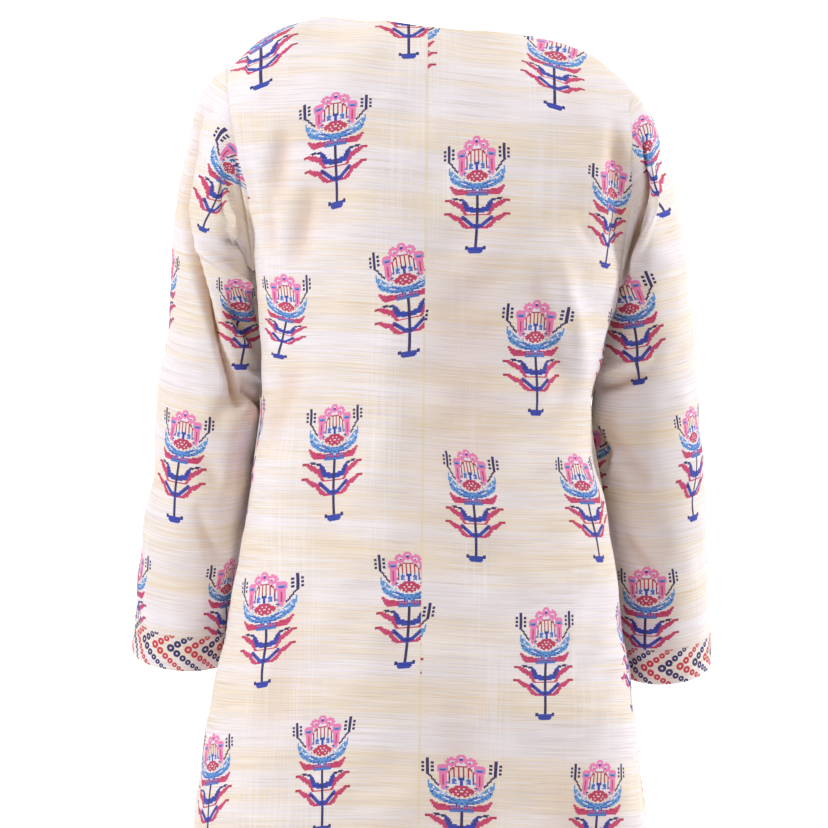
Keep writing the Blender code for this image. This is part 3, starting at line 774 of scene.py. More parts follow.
# ---- Creases ----
def panel_creases(points: np.ndarray, columns: np.ndarray, face: Face) -> np.ndarray:
    """Height of a panel's creases, which die out at the armhole and the side seam.

    Args:
        points: The panel's points.
        columns: Its column places.
        face: The panel's side of the body.

    Returns:
        Heights off the surface. Each crease is a bell-shaped ridge or trough along its line.
    """
    across, down = points[..., 0], -points[..., 2]
    height = np.zeros_like(across)
    for crease in CREASES[face]:
        run = np.array([crease.across1 - crease.across0, crease.down1 - crease.down0])
        share = ((across - crease.across0) * run[0] + (down - crease.down0) * run[1]) / (run @ run)
        along = np.clip(share, 0.0, 1.0)
        bow = crease.bow * 4 * along * (1 - along)
        away = np.hypot(across - crease.across0 - along * run[0] - bow,
                        down - crease.down0 - along * run[1])
        reach = ease(*CREASE_GROWS, share)
        if crease.down1 < LENGTH:
            reach = reach * (1 - ease(*CREASE_FADES, share))
        height += crease.height * reach * np.exp(-(away / crease.half) ** 2)
    return height * (1 - np.abs(columns[None, :]) ** SEAM_HOLD)


def sleeve_creases(side: Side, alongs: np.ndarray, count: int) -> np.ndarray:
    """Height of a sleeve's creases, which die out at the armhole and the cuff.

    Args:
        side: Which sleeve.
        alongs: Each ring's share of the way down.
        count: Places round a ring.

    Returns:
        Heights off the surface.
    """
    along = alongs[:, None]
    turn = (np.arange(count) * FULL_TURN / count)[None, :]
    height = np.zeros((len(alongs), count))
    for crease in SLEEVE_CREASES[side]:
        run = np.array([crease.along1 - crease.along0, (crease.turn1 - crease.turn0) / FULL_TURN])
        off = (turn - crease.turn0 + FULL_TURN / 2) % FULL_TURN - FULL_TURN / 2
        place = np.stack(np.broadcast_arrays(along - crease.along0, off / FULL_TURN), axis=-1)
        share = np.clip(place @ run / (run @ run), 0.0, 1.0)
        away = np.linalg.norm(place - share[..., None] * run, axis=-1)
        height += crease.height * (1 - (2 * share - 1) ** 4) * np.exp(-(away / crease.half) ** 2)
    inner = np.exp(-((turn - FULL_TURN / 2) / INNER_TURN) ** 2) * (1 - ease(*INNER_FADES, along))
    held = np.where(height < 0, 1 - INNER_HOLD * inner, 1.0)
    return height * held * ease(*ARMHOLE_FADE, along) * (1 - ease(*CUFF_FADE, along))


def painted_shade(height: np.ndarray, to_seam: float | np.ndarray = 1.0) -> np.ndarray:
    """How deep in a trough each point lies and how near a seam, for the warm shade painted into the
    cloth's colour there.

    Args:
        height: Heights off the surface.
        to_seam: Distances to a seam or turned edge, or 1 where no seam shade is painted.

    Returns:
        A pair a point, the share of PAINTED_SHADE_DEPTH and the distance.
    """
    share = np.clip(-height / PAINTED_SHADE_DEPTH, 0.0, 1.0)
    return np.stack(np.broadcast_arrays(share, to_seam), axis=-1)


def puckers(points: np.ndarray, seed: int) -> np.ndarray:
    """Slight waves of cloth that never lies quite flat.

    Args:
        points: The piece's points.
        seed: Draws the waves' directions and starts.

    Returns:
        Heights off the surface, the sum of a few plane waves for each row of PUCKERS.
    """
    random = np.random.default_rng(seed)
    height = np.zeros(points.shape[:2])
    for row in PUCKERS:
        for _ in range(row.count):
            way = random.normal(size=3)
            way *= 2 * math.pi / row.length / np.linalg.norm(way) * random.uniform(*PUCKER_SPREAD)
            height += row.height * np.sin(points @ way + random.uniform(0, 2 * math.pi))
    return height


# ---- Cloth pieces ----
def new_piece(name: str, vertices: list, faces: list, material: bpy.types.Material) -> bpy.types.Object:
    """Adds a piece to the scene.

    Args:
        name: Its name.
        vertices: Its points.
        faces: Their indices, face by face.
        material: Its finish.

    Returns:
        The new object.
    """
    mesh = bpy.data.meshes.new(name)
    mesh.from_pydata(vertices, [], faces)
    mesh.materials.append(material)
    piece = bpy.data.objects.new(name, mesh)
    bpy.context.scene.collection.objects.link(piece)
    return piece


@dataclass(frozen=True)
class View:
    """Where the camera stands, straight behind the tunic, and how its frame sees the cloth."""

    across: float = -0.0080
    down: float = 0.3397
    distance: float = 3.0
    frame_width: float = 0.72864    # at the origin's distance
    frame_pixels: int = 828
    roll: float = 0.7

    def matrix(self) -> Matrix:
        """The camera's place and turn."""
        turn = math.radians(self.roll)
        return Matrix(((math.cos(turn), -math.sin(turn), 0.0, self.across),
                       (0.0, 0.0, -1.0, -self.distance),
                       (math.sin(turn), math.cos(turn), 0.0, -self.down),
                       (0.0, 0.0, 0.0, 1.0)))

    def seen(self, points: np.ndarray) -> np.ndarray:
        """Where points show in the frame.

        Args:
            points: The points.

        Returns:
            Pixels from the frame's upper left corner, across and down.
        """
        scale = self.frame_pixels / self.frame_width * self.distance / (self.distance + points[..., 1])
        right, up = (points[..., 0] - self.across) * scale, (points[..., 2] + self.down) * scale
        turn = math.radians(self.roll)
        across = right * math.cos(turn) + up * math.sin(turn)
        down = right * math.sin(turn) - up * math.cos(turn)
        return np.stack([across, down], axis=-1) + self.frame_pixels / 2


VIEW = View()


@dataclass
class ClothGrid:
    """A piece of cloth as a grid of points.

    points and normals are rows by columns, the normals outward. flat is each point's place on the
    printed length and on the weave, and has one more column than points where the grid is closed.
    sign is 1 where the outward normals run along (next column) x (next row).
    """

    points: np.ndarray
    normals: np.ndarray
    flat: np.ndarray
    thickness: np.ndarray
    sign: float
    closed: bool = False

    def corners(self) -> tuple[np.ndarray, np.ndarray]:
        """Corner indices of the closed shell round the grid.

        Returns:
            Vertex indices and places in the flat table, faces by four corners.
        """
        rows, columns = self.points.shape[:2]
        spans = columns if self.closed else columns - 1
        row, column = np.meshgrid(np.arange(rows - 1), np.arange(spans), indexing="ij")
        row, column = row.ravel(), column.ravel()
        family = []

        def add(*corners: tuple) -> None:
            """Adds one family of quads.

            Args:
                corners: Row, column and layer of each corner, layer 0 outside and 1 inside.
            """
            size = max(np.size(part) for corner in corners for part in corner)
            family.append(np.stack([np.stack([np.broadcast_to(part, size) for part in corner])
                                    for corner in corners], axis=-1))

        add((row, column, 0), (row, column + 1, 0), (row + 1, column + 1, 0), (row + 1, column, 0))
        add((row + 1, column, 1), (row + 1, column + 1, 1), (row, column + 1, 1), (row, column, 1))
        edge, last = np.arange(spans), rows - 1
        add((0, edge + 1, 0), (0, edge, 0), (0, edge, 1), (0, edge + 1, 1))
        add((last, edge, 0), (last, edge + 1, 0), (last, edge + 1, 1), (last, edge, 1))
        if not self.closed:
            edge, last = np.arange(rows - 1), columns - 1
            add((edge, 0, 0), (edge + 1, 0, 0), (edge + 1, 0, 1), (edge, 0, 1))
            add((edge + 1, last, 0), (edge, last, 0), (edge, last, 1), (edge + 1, last, 1))
        whole = np.concatenate(family, axis=1)
        if self.sign < 0:
            whole = whole[..., ::-1]
        vertex = whole[2] * rows * columns + whole[0] * columns + whole[1] % columns
        return vertex, whole[0] * (spans + 1) + whole[1]

    def to_object(self, name: str, material: bpy.types.Material) -> bpy.types.Object:
        """Makes the cloth's closed shell and adds it to the scene.

        Args:
            name: The piece's name.
            material: Its cloth.

        Returns:
            The new object.
        """
        offset = self.normals * self.thickness[..., None] / 2
        outer, inner = tilted(self.points + offset), tilted(self.points - offset)
        vertices = np.concatenate([outer.reshape(-1, 3), inner.reshape(-1, 3)])
        faces, places = self.corners()
        piece = new_piece(name, vertices.tolist(), faces.tolist(), material)
        mesh = piece.data
        for part, layer in enumerate((PRINT_UV, WEAVE_UV, PAINTED_SHADE_UV)):
            table = self.flat[..., part * 2:part * 2 + 2].reshape(-1, 2)
            mesh.uv_layers.new(name=layer).data.foreach_set("uv", table[places.ravel()].ravel())
        mesh.shade_smooth()
        mesh.set_sharp_from_angle(angle=math.radians(SHARP_ANGLE))
        LOG.info("%s: %d vertices, %d faces", name, len(vertices), len(faces))
        return piece


@dataclass(frozen=True)
class Cut:
    """Where a piece was cut from the printed length: by pins, or else by where its zero lies."""

    pins: tuple = ()
    across: float = 0.0
    down: float = 0.0
    give: float = 2e-4      # how far the print may slip off its pins to stay even
    near: int = 6           # how many points of the cloth place a pin
    reach: float = 3.0      # how many pixels off the nearest point a pin may be
    turned_away: float = 0.05    # cloth whose normal's Y is above this is hidden from the view

    def held(self, places: np.ndarray, outside: np.ndarray, normals: np.ndarray) -> np.ndarray:
        """Finds the cloth that shows at each pin.

        Args:
            places: Places on the piece, a row for each point.
            outside: The points of its outer side.
            normals: The normals there.

        Returns:
            A place on the piece for each pin, from a plane fitted through the nearest points seen.
        """
        seen = VIEW.seen(tilted(outside)).reshape(-1, 2)
        flat = places.reshape(-1, 2)
        hidden = np.where(normals[..., 1].ravel() < self.turned_away, 0.0, math.inf)
        found = []
        for pin in self.pins:
            off = seen - (pin.x, pin.y)
            away = np.linalg.norm(off, axis=-1) + hidden
            near = np.argsort(away)[:self.near]
            weight = 1 / (away[near] + PIN_BLUR)[:, None]
            plane = np.concatenate([np.ones((self.near, 1)), off[near]], axis=-1)
            fitted = np.linalg.lstsq(plane * weight, flat[near] * weight, rcond=None)[0][0]
            found.append(flat[near[0]] if away[near[0]] > self.reach else fitted)
        return np.array(found)

    def place(self, places: np.ndarray, level: np.ndarray, held: np.ndarray) -> np.ndarray:
        """Places on the printed length.

        Args:
            places: Distances across and down the piece.
            level: How far down the cloth's length the weft thread at each point lies.
            held: Where on the piece the pins are.

        Returns:
            Both for the print and then both for the weave, in one array. The print is moved as a
            whole, or bent like a thin plate that is held at the pins.
        """
        weave = np.stack([places[..., 0] + self.across, level + self.down], axis=-1)
        if not self.pins:
            return np.concatenate([places + np.array([self.across, self.down]), weave], axis=-1)
        column, flower, stitch, row = np.array(self.pins)[:, 2:].T
        printed = np.stack([(column + 0.5) * COLUMN_PITCH + stitch * STITCH_WIDTH,
                            (flower - 0.5 * (column % 2)) * REPEAT + row * STITCH_HEIGHT], axis=-1)

        def pull(points: np.ndarray) -> np.ndarray:
            """How each pin bends the plate.

            Args:
                points: Places on the piece.

            Returns:
                r squared times the logarithm of r for each point and pin, then 1, across and down.
            """
            square = ((points[..., None, :] - held) ** 2).sum(axis=-1)
            plain = np.ones((*points.shape[:-1], 1))
            return np.concatenate([square * np.log(square + 1e-12) / 2, plain, points], axis=-1)

        rows = pull(held)
        count = len(held)
        target = np.concatenate([printed, np.zeros((3, 2))])
        system = np.zeros((count + 3, count + 3))
        system[:count] = rows + np.eye(count, count + 3) * self.give
        system[count:, :count] = rows[:, count:].T
        return np.concatenate([pull(places) @ np.linalg.solve(system, target), weave], axis=-1)


@dataclass
class TorsoPanel:
    """One panel of the torso: a half of the back, or the front."""

    name: str
    face: Face
    columns: np.ndarray
    cut: Cut
    flat: tuple[float, float]
    area: float
    seed: int

    def grid(self) -> ClothGrid:
        """The panel's cloth.

        Returns:
            Its grid, creased, with its turned hem and neck edge twice as thick.
        """
        base = panel_surface(self.face, self.columns)
        normals = grid_normals(base) * self.face.value
        creases = panel_creases(base, self.columns, self.face)
        height = creases + puckers(base, self.seed)
        points = base + normals * height[..., None]
        centre = int(np.argmin(np.abs(self.columns)))
        across = running_length(base, axis=1)
        across = across - across[:, [centre]]
        down = running_length(base, axis=0)
        level = np.argmin(np.abs(base[..., 2] + MEASURED_FROM), axis=0)
        down = down - np.take_along_axis(down, level[None, :], axis=0)
        middle = base[:, centre]
        weft = np.interp(-base[..., 2], -middle[:, 2], down[:, centre])
        weft += WEFT_BOW * base[..., 0] ** 2 * ease(MEASURED_FROM, LENGTH, -base[..., 2])
        to_hem = running_length(points[::-1], axis=0)[::-1]
        to_neck = running_length(points, axis=0)
        in_neck = np.abs(base[0, :, 0])[None, :] < NECK_HALF
        turned = (1 - ease(HEM_TURN - TURN_FADE, HEM_TURN, to_hem)
                  + in_neck * (1 - ease(NECK_TURN - TURN_FADE, NECK_TURN, to_neck)))
        # Painted shade beside the back's centre seam; along the neck the same colour marks the facing's
        # band.
        to_seam = np.abs(across) if self.face is Face.BACK else np.ones_like(across)
        facing = np.where(in_neck, to_neck / FACING_SHARE, 1.0)
        outward = grid_normals(points) * self.face.value
        thickness = CLOTH + (TURNED_EDGE - CLOTH) * turned
        places = np.stack([across, down], axis=-1)
        held = self.cut.held(places, points + outward * thickness[..., None] / 2, outward)
        # Where warm shade is painted into the colour: the troughs, and beside the back seam and along
        # the neck facing.
        shade = painted_shade(creases, np.minimum(to_seam, facing))
        flat = np.concatenate([self.cut.place(places, weft, held), shade], axis=-1)
        return ClothGrid(points, outward, flat, thickness, self.face.value)

    def build(self, material: bpy.types.Material) -> ClothGrid:
        """Args:
            material: Its cloth.

        Returns:
            The panel's grid, for the sewing on it.
        """
        grid = self.grid()
        piece = grid.to_object(self.name + "_cloth", material)
        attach(piece, BODY)
        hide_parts(self.name)
        return grid


@dataclass
class Sleeve:
    """A sleeve with its cuff band."""

    side: Side
    cut: Cut
    flat: tuple[float, float]
    area: float
    band_flat: tuple[float, float]
    band_across: float
    band_down: float
    seed: int
    label: str = field(init=False)

    def __post_init__(self) -> None:
        """Names the sleeve after its side."""
        self.label = self.side.name.lower()

    def tube(self, alongs: np.ndarray, thickness: float, cut: Cut, creased: bool) -> ClothGrid:
        """A stretch of the sleeve.

        Args:
            alongs: The rings' shares of the way down.
            thickness: The cloth's.
            cut: Where the stretch lies on its printed length.
            creased: Whether the sleeve's creases cross it.

        Returns:
            The stretch's grid. Its columns start and end at the inner side, where the seam is.
        """
        base = sleeve_surface(self.side, alongs)
        count = base.shape[1]
        normals = grid_normals(base, closed=True) * self.side.value
        creases = sleeve_creases(self.side, alongs, count) * creased
        height = creases + puckers(base, self.seed) * ease(*PUCKERS_FROM, alongs)[:, None]
        points = base + normals * height[..., None]
        if creased:
            creases = np.concatenate([creases[:1], creases])
            allowance = points[:1] + (points[:1].mean(axis=1) - points[:1]) * SEAM_TUCK
            allowance[..., 0] -= self.side.value * SEAM_WIDTH
            base = np.concatenate([allowance, base])
            points = np.concatenate([allowance, points])
        half = count // 2
        base, points = np.roll(base, half, axis=1), np.roll(points, half, axis=1)
        closed_base = np.concatenate([base, base[:, :1]], axis=1)
        creases = np.roll(creases, half, axis=1)
        creases = np.concatenate([creases, creases[:, :1]], axis=1)
        across = running_length(closed_base, axis=1)
        across = across - across[:, [half]]
        down = running_length(closed_base, axis=0)
        down = down - down[-1:, :]
        outward = grid_normals(points, closed=True) * self.side.value
        places = np.stack([-across * self.side.value, down], axis=-1)
        held = cut.held(places[:, :-1], points + outward * thickness / 2, outward)
        # The troughs' depths, for the shade painted into the sleeve's colour.
        flat = np.concatenate([cut.place(places, down, held), painted_shade(creases)], axis=-1)
        return ClothGrid(points, outward, flat, np.full(points.shape[:2], thickness),
                         self.side.value, closed=True)

    def build(self, cloth: bpy.types.Material, band_cloth: bpy.types.Material) -> ClothGrid:
        """Args:
            cloth: The sleeve's cloth.
            band_cloth: The band's.

        Returns:
            The band's grid, for the sewing on it.
        """
        band_start = 1 - BAND_HEIGHT / SLEEVE_LENGTH
        share = np.linspace(0.0, 1.0, SLEEVE_RINGS)
        alongs = band_start * (share + RING_CROWDING * share * (share - 1))
        grid = self.tube(alongs, CLOTH, self.cut, creased=True)
        piece = grid.to_object(f"sleeve_{self.label}_cloth", cloth)
        band = self.tube(np.linspace(band_start, 1.0, BAND_RINGS), TURNED_EDGE,
                         Cut(across=self.band_across, down=BAND_HEIGHT + self.band_down),
                         creased=False)
        band_piece = band.to_object(f"cuff_band_{self.label}_cloth", band_cloth)
        for made, node in ((piece, "sleeve_"), (band_piece, "cuff_band_")):
            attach(made, BODY)
            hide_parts(node + self.label)
        return band


# ---- Node building ----
MIX_INPUTS, MIX_OUTPUT = (0, 6, 7), 2    # a Mix node's sockets for two colours


class Bench:
    """Adds and links nodes in one tree."""

    def __init__(self, tree: bpy.types.NodeTree) -> None:
        """Starts on a tree.

        Args:
            tree: The tree to add to.
        """
        self.tree = tree

    def node(self, kind: str, **settings) -> bpy.types.Node:
        """Adds a node.

        Args:
            kind: Its type, without the ShaderNode at the front.
            settings: Its own settings.

        Returns:
            The node.
        """
        made = self.tree.nodes.new("ShaderNode" + kind)
        for name, value in settings.items():
            setattr(made, name, value)
        return made

    def feed(self, socket: bpy.types.NodeSocket, value: object) -> None:
        """Links or sets an input.

        Args:
            socket: The input.
            value: Another node's output, or the value itself.
        """
        if isinstance(value, bpy.types.NodeSocket):
            self.tree.links.new(value, socket)
        else:
            socket.default_value = value

    def math(self, operation: str, *values: object) -> bpy.types.NodeSocket:
        """Works one sum.

        Args:
            operation: The Math node's operation.
            values: Its inputs, in order.

        Returns:
            The result's socket.
        """
        made = self.node("Math", operation=operation)
        for socket, value in zip(made.inputs, values):
            self.feed(socket, value)
        return made.outputs[0]

    def parts(self, vector: bpy.types.NodeSocket) -> tuple:
        """Takes a place or a colour apart.

        Args:
            vector: The place's or the colour's socket.

        Returns:
            The sockets of its three numbers.
        """
        made = self.node("SeparateColor" if vector.type == "RGBA" else "SeparateXYZ")
        self.feed(made.inputs[0], vector)
        return tuple(made.outputs)

    def give(self, **values: bpy.types.NodeSocket) -> None:
        """Puts out a group's values.

        Args:
            values: A socket for each of the group's outputs, by name.
        """
        for name, value in values.items():
            self.feed(self.tree.nodes["Group Output"].inputs[name], value)

    def object_noise(self, scale: float) -> bpy.types.NodeSocket:
        """Noise fixed to the object.

        Args:
            scale: Its grains in a metre.

        Returns:
            Noise from 0 to 1.
        """
        made = self.node("TexNoise")
        made.inputs["Scale"].default_value = scale
        self.feed(made.inputs["Vector"], self.node("TexCoord").outputs["Object"])
        return made.outputs["Fac"]

    def between(self, value: object, low: float, high: float) -> bpy.types.NodeSocket:
        """Rises from 0 to 1 between two values.

        Args:
            value: The value to follow.
            low: Where 0 ends.
            high: Where 1 starts.

        Returns:
            The risen share.
        """
        made = self.node("MapRange", interpolation_type="SMOOTHSTEP")
        for name, given in (("Value", value), ("From Min", low), ("From Max", high)):
            self.feed(made.inputs[name], given)
        return made.outputs["Result"]

    def mix(self, factor: object, first: object, second: object) -> bpy.types.NodeSocket:
        """Mixes two colours.

        Args:
            factor: The second one's share.
            first: A colour or its socket.
            second: The other.

        Returns:
            The mixed colour.
        """
        made = self.node("Mix", data_type="RGBA")
        for socket, value in zip(MIX_INPUTS, (factor, first, second)):
            self.feed(made.inputs[socket], value)
        return made.outputs[MIX_OUTPUT]

    def ramp(self, factor: object, stops: list) -> bpy.types.NodeSocket:
        """A stepped list of colours.

        Args:
            factor: Where to read it, from 0 to 1.
            stops: One colour for each equal step.

        Returns:
            The colour there.
        """
        made = self.node("ValToRGB")
        made.color_ramp.interpolation = "CONSTANT"
        elements = made.color_ramp.elements
        while len(elements) < len(stops):
            elements.new(1.0)
        for i, colour in enumerate(stops):
            elements[i].position = i / len(stops)
            elements[i].color = (*colour, 1.0)
        self.feed(made.inputs[0], factor)
        return made.outputs[0]

    def noise(self, across: object, down: object, detail: float = 0.0) -> bpy.types.NodeSocket:
        """Smooth noise whose grains are one unit across and down.

        Args:
            across: The first coordinate, in grains.
            down: The second.
            detail: Octaves beyond the first.

        Returns:
            Noise from 0 to 1.
        """
        place = self.node("CombineXYZ")
        self.feed(place.inputs[0], across)
        self.feed(place.inputs[1], down)
        made = self.node("TexNoise", noise_dimensions="2D", normalize=True)
        made.inputs["Scale"].default_value = 1.0
        made.inputs["Detail"].default_value = detail
        self.feed(made.inputs["Vector"], place.outputs[0])
        return made.outputs["Fac"]


def new_group(name: str, inputs: dict, outputs: dict) -> tuple[bpy.types.NodeTree, Bench]:
    """Starts a node group.

    Args:
        name: Its name.
        inputs: Socket types by name.
        outputs: Socket types by name.

    Returns:
        The group and a bench on it, with its input and output nodes made.
    """
    tree = bpy.data.node_groups.new(name, "ShaderNodeTree")
    for in_out, sockets in (("INPUT", inputs), ("OUTPUT", outputs)):
        for socket, kind in sockets.items():
            tree.interface.new_socket(socket, in_out=in_out, socket_type="NodeSocket" + kind)
    tree.nodes.new("NodeGroupInput")
    tree.nodes.new("NodeGroupOutput")
    return tree, Bench(tree)


# The threads that stand out, from the commonest up: how long and high their grains are in metres, what
# moves their noise, between which values of it they show, how strongly, and whether they are thick. The
# warp's run down the cloth.
SlubRow = namedtuple("SlubRow", "name long high shift low full strength colour raised")
SLUBS = [
    SlubRow("pale", 0.060, 0.00090, 89.0, 0.58, 0.68, 0.65, (0.93, 0.89, 0.88, 1), False),
    SlubRow("beige", 0.080, 0.00065, 41.0, 0.58, 0.70, 0.60, (0.67, 0.56, 0.49, 1), True),
    SlubRow("lilac", 0.070, 0.00080, 67.0, 0.58, 0.70, 0.50, (0.76, 0.73, 0.79, 1), True),
    SlubRow("ochre", 0.110, 0.00070, 47.0, 0.60, 0.70, 0.62, (0.79, 0.62, 0.38, 1), True),
    SlubRow("warp", 0.0013, 0.110, 113.0, 0.50, 0.66, 0.38, (0.92, 0.90, 0.93, 1), False),
]
GROUND_COLOURS = ((0.868, 0.814, 0.828, 1), (0.868, 0.760, 0.615, 1))    # the pale and the warm one
ZONE_SHARE = 0.55          # how far broad zones and not single lines make the ground warm
WARMER_DOWN = 0.08         # by how much the ground is warmer for each metre down
WARM_BETWEEN = (0.43, 0.57)
OCHRE_ZONES = (0.40, 0.56)     # ochre threads keep to the warm zones
WARP_BANDS = (0.50, 0.68)      # and the warp shows in bands
WEFT_SHARE = 0.6           # of the weave's relief, the rest being the warp's
THREAD_LIFT = 0.55         # how much higher than the weave a thick thread stands


def slub_weave_group() -> bpy.types.NodeTree:
    """Plain-woven slub cotton: cream ground with thick and thin weft threads in ochre, beige and lilac.

    Returns:
        A group from a place on the flat cloth to Colour, Height and Thread, a mask of thick threads.
    """
    tree, bench = new_group("slub_weave", {"Place": "Vector"},
                            {"Colour": "Color", "Height": "Float", "Thread": "Float"})
    across, down, _ = bench.parts(tree.nodes["Group Input"].outputs[0])

    def grains(long: float, high: float, detail: float = 0.0, shift: float = 0.0) -> object:
        """Noise with grains of a given size on the cloth.

        Args:
            long: Their length across, in metres.
            high: Their height, in metres.
            detail: Octaves beyond the first.
            shift: Moves the noise, so that two layers differ.

        Returns:
            The noise.
        """
        return bench.noise(bench.math("MULTIPLY_ADD", across, 1 / long, shift),
                           bench.math("MULTIPLY_ADD", down, 1 / high, shift), detail)

    zones = grains(long=0.80, high=0.030, detail=2.0, shift=3.1)
    lines = grains(long=0.14, high=0.0009, detail=1.0, shift=17.0)
    tone = bench.math("MULTIPLY_ADD", zones, ZONE_SHARE, bench.math("MULTIPLY", lines, 1 - ZONE_SHARE))
    warm = bench.between(bench.math("MULTIPLY_ADD", down, WARMER_DOWN, tone), *WARM_BETWEEN)
    bands = grains(long=0.055, high=0.50, shift=7.0)
    only_in = {"ochre": bench.between(zones, *OCHRE_ZONES), "warp": bench.between(bands, *WARP_BANDS)}
    colour = bench.mix(warm, *GROUND_COLOURS)
    thread = None
    for row in SLUBS:
        share = bench.between(grains(row.long, row.high, 1.0, row.shift), row.low, row.full)
        if row.name in only_in:
            share = bench.math("MULTIPLY", share, only_in[row.name])
        colour = bench.mix(bench.math("MULTIPLY", share, row.strength), colour, row.colour)
        if row.raised:
            thread = share if thread is None else bench.math("MAXIMUM", thread, share)
    weft = grains(long=0.020, high=0.0007, shift=131.0)
    fine = grains(long=0.0006, high=0.010, shift=151.0)
    cloth = bench.math("MULTIPLY_ADD", weft, WEFT_SHARE, bench.math("MULTIPLY", fine, 1 - WEFT_SHARE))
    height = bench.math("MULTIPLY_ADD", thread, THREAD_LIFT, cloth)
    bench.give(Colour=colour, Height=height, Thread=thread)
    return tree


def flower_group() -> bpy.types.NodeTree:
    """The flower print, repeated in half-dropped columns.

    The chart is kept in stepped ramps, one step a row. A row's red, green and blue are whole numbers
    whose binary digits are the three digits of each stitch's ink, one digit for each column.

    Returns:
        A group from a place on the flat cloth to Colour and Cover.
    """
    tree, bench = new_group("flower_print", {"Place": "Vector"}, {"Colour": "Color", "Cover": "Float"})
    across, down, _ = bench.parts(tree.nodes["Group Input"].outputs[0])
    columns = bench.math("MULTIPLY", across, 1 / COLUMN_PITCH)
    column = bench.math("FLOOR", columns)
    beside = bench.math("ABSOLUTE", bench.math("SUBTRACT", bench.math("SUBTRACT", columns, column), 0.5))
    stitch = bench.math("FLOOR", bench.math("MULTIPLY", beside, COLUMN_PITCH / STITCH_WIDTH))
    odd = bench.math("FLOORED_MODULO", column, 2.0)
    drop = bench.math("MULTIPLY_ADD", down, 1 / REPEAT, bench.math("MULTIPLY", odd, 0.5))
    row = bench.math("FLOOR", bench.math("MULTIPLY", bench.math("FRACT", drop), REPEAT / STITCH_HEIGHT))

    inks = "".join(INKS)
    rows = [[inks.index(ink) for ink in line] for line in FLOWER]
    rows += [[0]] * (RAMPS * RAMP_STEPS - len(rows))
    planes = [tuple(float(sum((ink >> bit & 1) << i for i, ink in enumerate(line))) for bit in range(3))
              for line in rows]
    digits = None
    for ramp in range(RAMPS):
        first = ramp * RAMP_STEPS
        place = bench.math("MULTIPLY_ADD", row, 1 / RAMP_STEPS, 0.5 / RAMP_STEPS - ramp)
        part = bench.ramp(place, planes[first:first + RAMP_STEPS])
        below = bench.math("GREATER_THAN", row, first - 0.5)
        digits = part if digits is None else bench.mix(below, digits, part)
    powers = [(float(2 ** min(i, len(FLOWER[0]) - 1)),) * 3 for i in range(RAMP_STEPS)]
    power = bench.ramp(bench.math("MULTIPLY_ADD", stitch, 1 / RAMP_STEPS, 0.5 / RAMP_STEPS), powers)
    power = bench.parts(power)[0]
    ink = None
    for bit, channel in enumerate(bench.parts(digits)):
        digit = bench.math("MODULO", bench.math("FLOOR", bench.math("DIVIDE", channel, power)), 2.0)
        ink = digit if ink is None else bench.math("MULTIPLY_ADD", digit, float(2 ** bit), ink)
    ink = bench.math("MULTIPLY", ink, bench.math("LESS_THAN", row, RAMPS * RAMP_STEPS - 0.5))
    colour = bench.ramp(bench.math("MULTIPLY_ADD", ink, 1 / len(INKS), 0.5 / len(INKS)),
                        list(INKS.values()))
    bench.give(Colour=colour, Cover=bench.math("GREATER_THAN", ink, 0.5))
    return tree


def ring_group() -> bpy.types.NodeTree:
    """The band's print of rings on nested arrows, navy and red by turns.

    Returns:
        A group from a place on the flat band to Colour and Cover.
    """
    tree, bench = new_group("ring_print", {"Place": "Vector"}, {"Colour": "Color", "Cover": "Float"})
    across, down, _ = bench.parts(tree.nodes["Group Input"].outputs[0])
    off_tip = bench.math("ABSOLUTE", bench.math("SUBTRACT", down, RING_TIP_DOWN))
    arm = math.radians(RING_ARM)
    along, before = 0.0, None
    cover, red = None, None
    for radius in RING_RADII:
        along = 0.0 if before is None else along + before + radius + RING_GAP
        before = radius
        arrows = bench.math("MULTIPLY_ADD", across, 1 / RING_PITCH,
                            0.5 - along * math.cos(arm) / RING_PITCH)
        arrow = bench.math("FLOOR", arrows)
        beside = bench.math("MULTIPLY", bench.math("SUBTRACT", bench.math("SUBTRACT", arrows, arrow),
                                                   0.5), RING_PITCH)
        above = bench.math("SUBTRACT", off_tip, along * math.sin(arm))
        away = bench.math("SQRT", bench.math("ADD", bench.math("MULTIPLY", beside, beside),
                                             bench.math("MULTIPLY", above, above)))
        line = min(RING_LINE, radius * RING_FILL)
        off_line = bench.math("ABSOLUTE", bench.math("SUBTRACT", away, radius - line / 2))
        ring = bench.math("LESS_THAN", off_line, line / 2)
        turn = bench.math("MULTIPLY", ring, bench.math("FLOORED_MODULO", arrow, 2.0))
        cover = ring if cover is None else bench.math("MAXIMUM", cover, ring)
        red = turn if red is None else bench.math("MAXIMUM", red, turn)
    bench.give(Colour=bench.mix(red, *RING_INKS), Cover=cover)
    return tree


# ---- Finishes ----
def new_material(name: str) -> tuple[bpy.types.Material, Bench, bpy.types.Node]:
    """Starts a material.

    Args:
        name: Its name.

    Returns:
        The material, a bench on its nodes and its shader.
    """
    material = bpy.data.materials.new(name)
    material.use_nodes = True
    return material, Bench(material.node_tree), material.node_tree.nodes["Principled BSDF"]


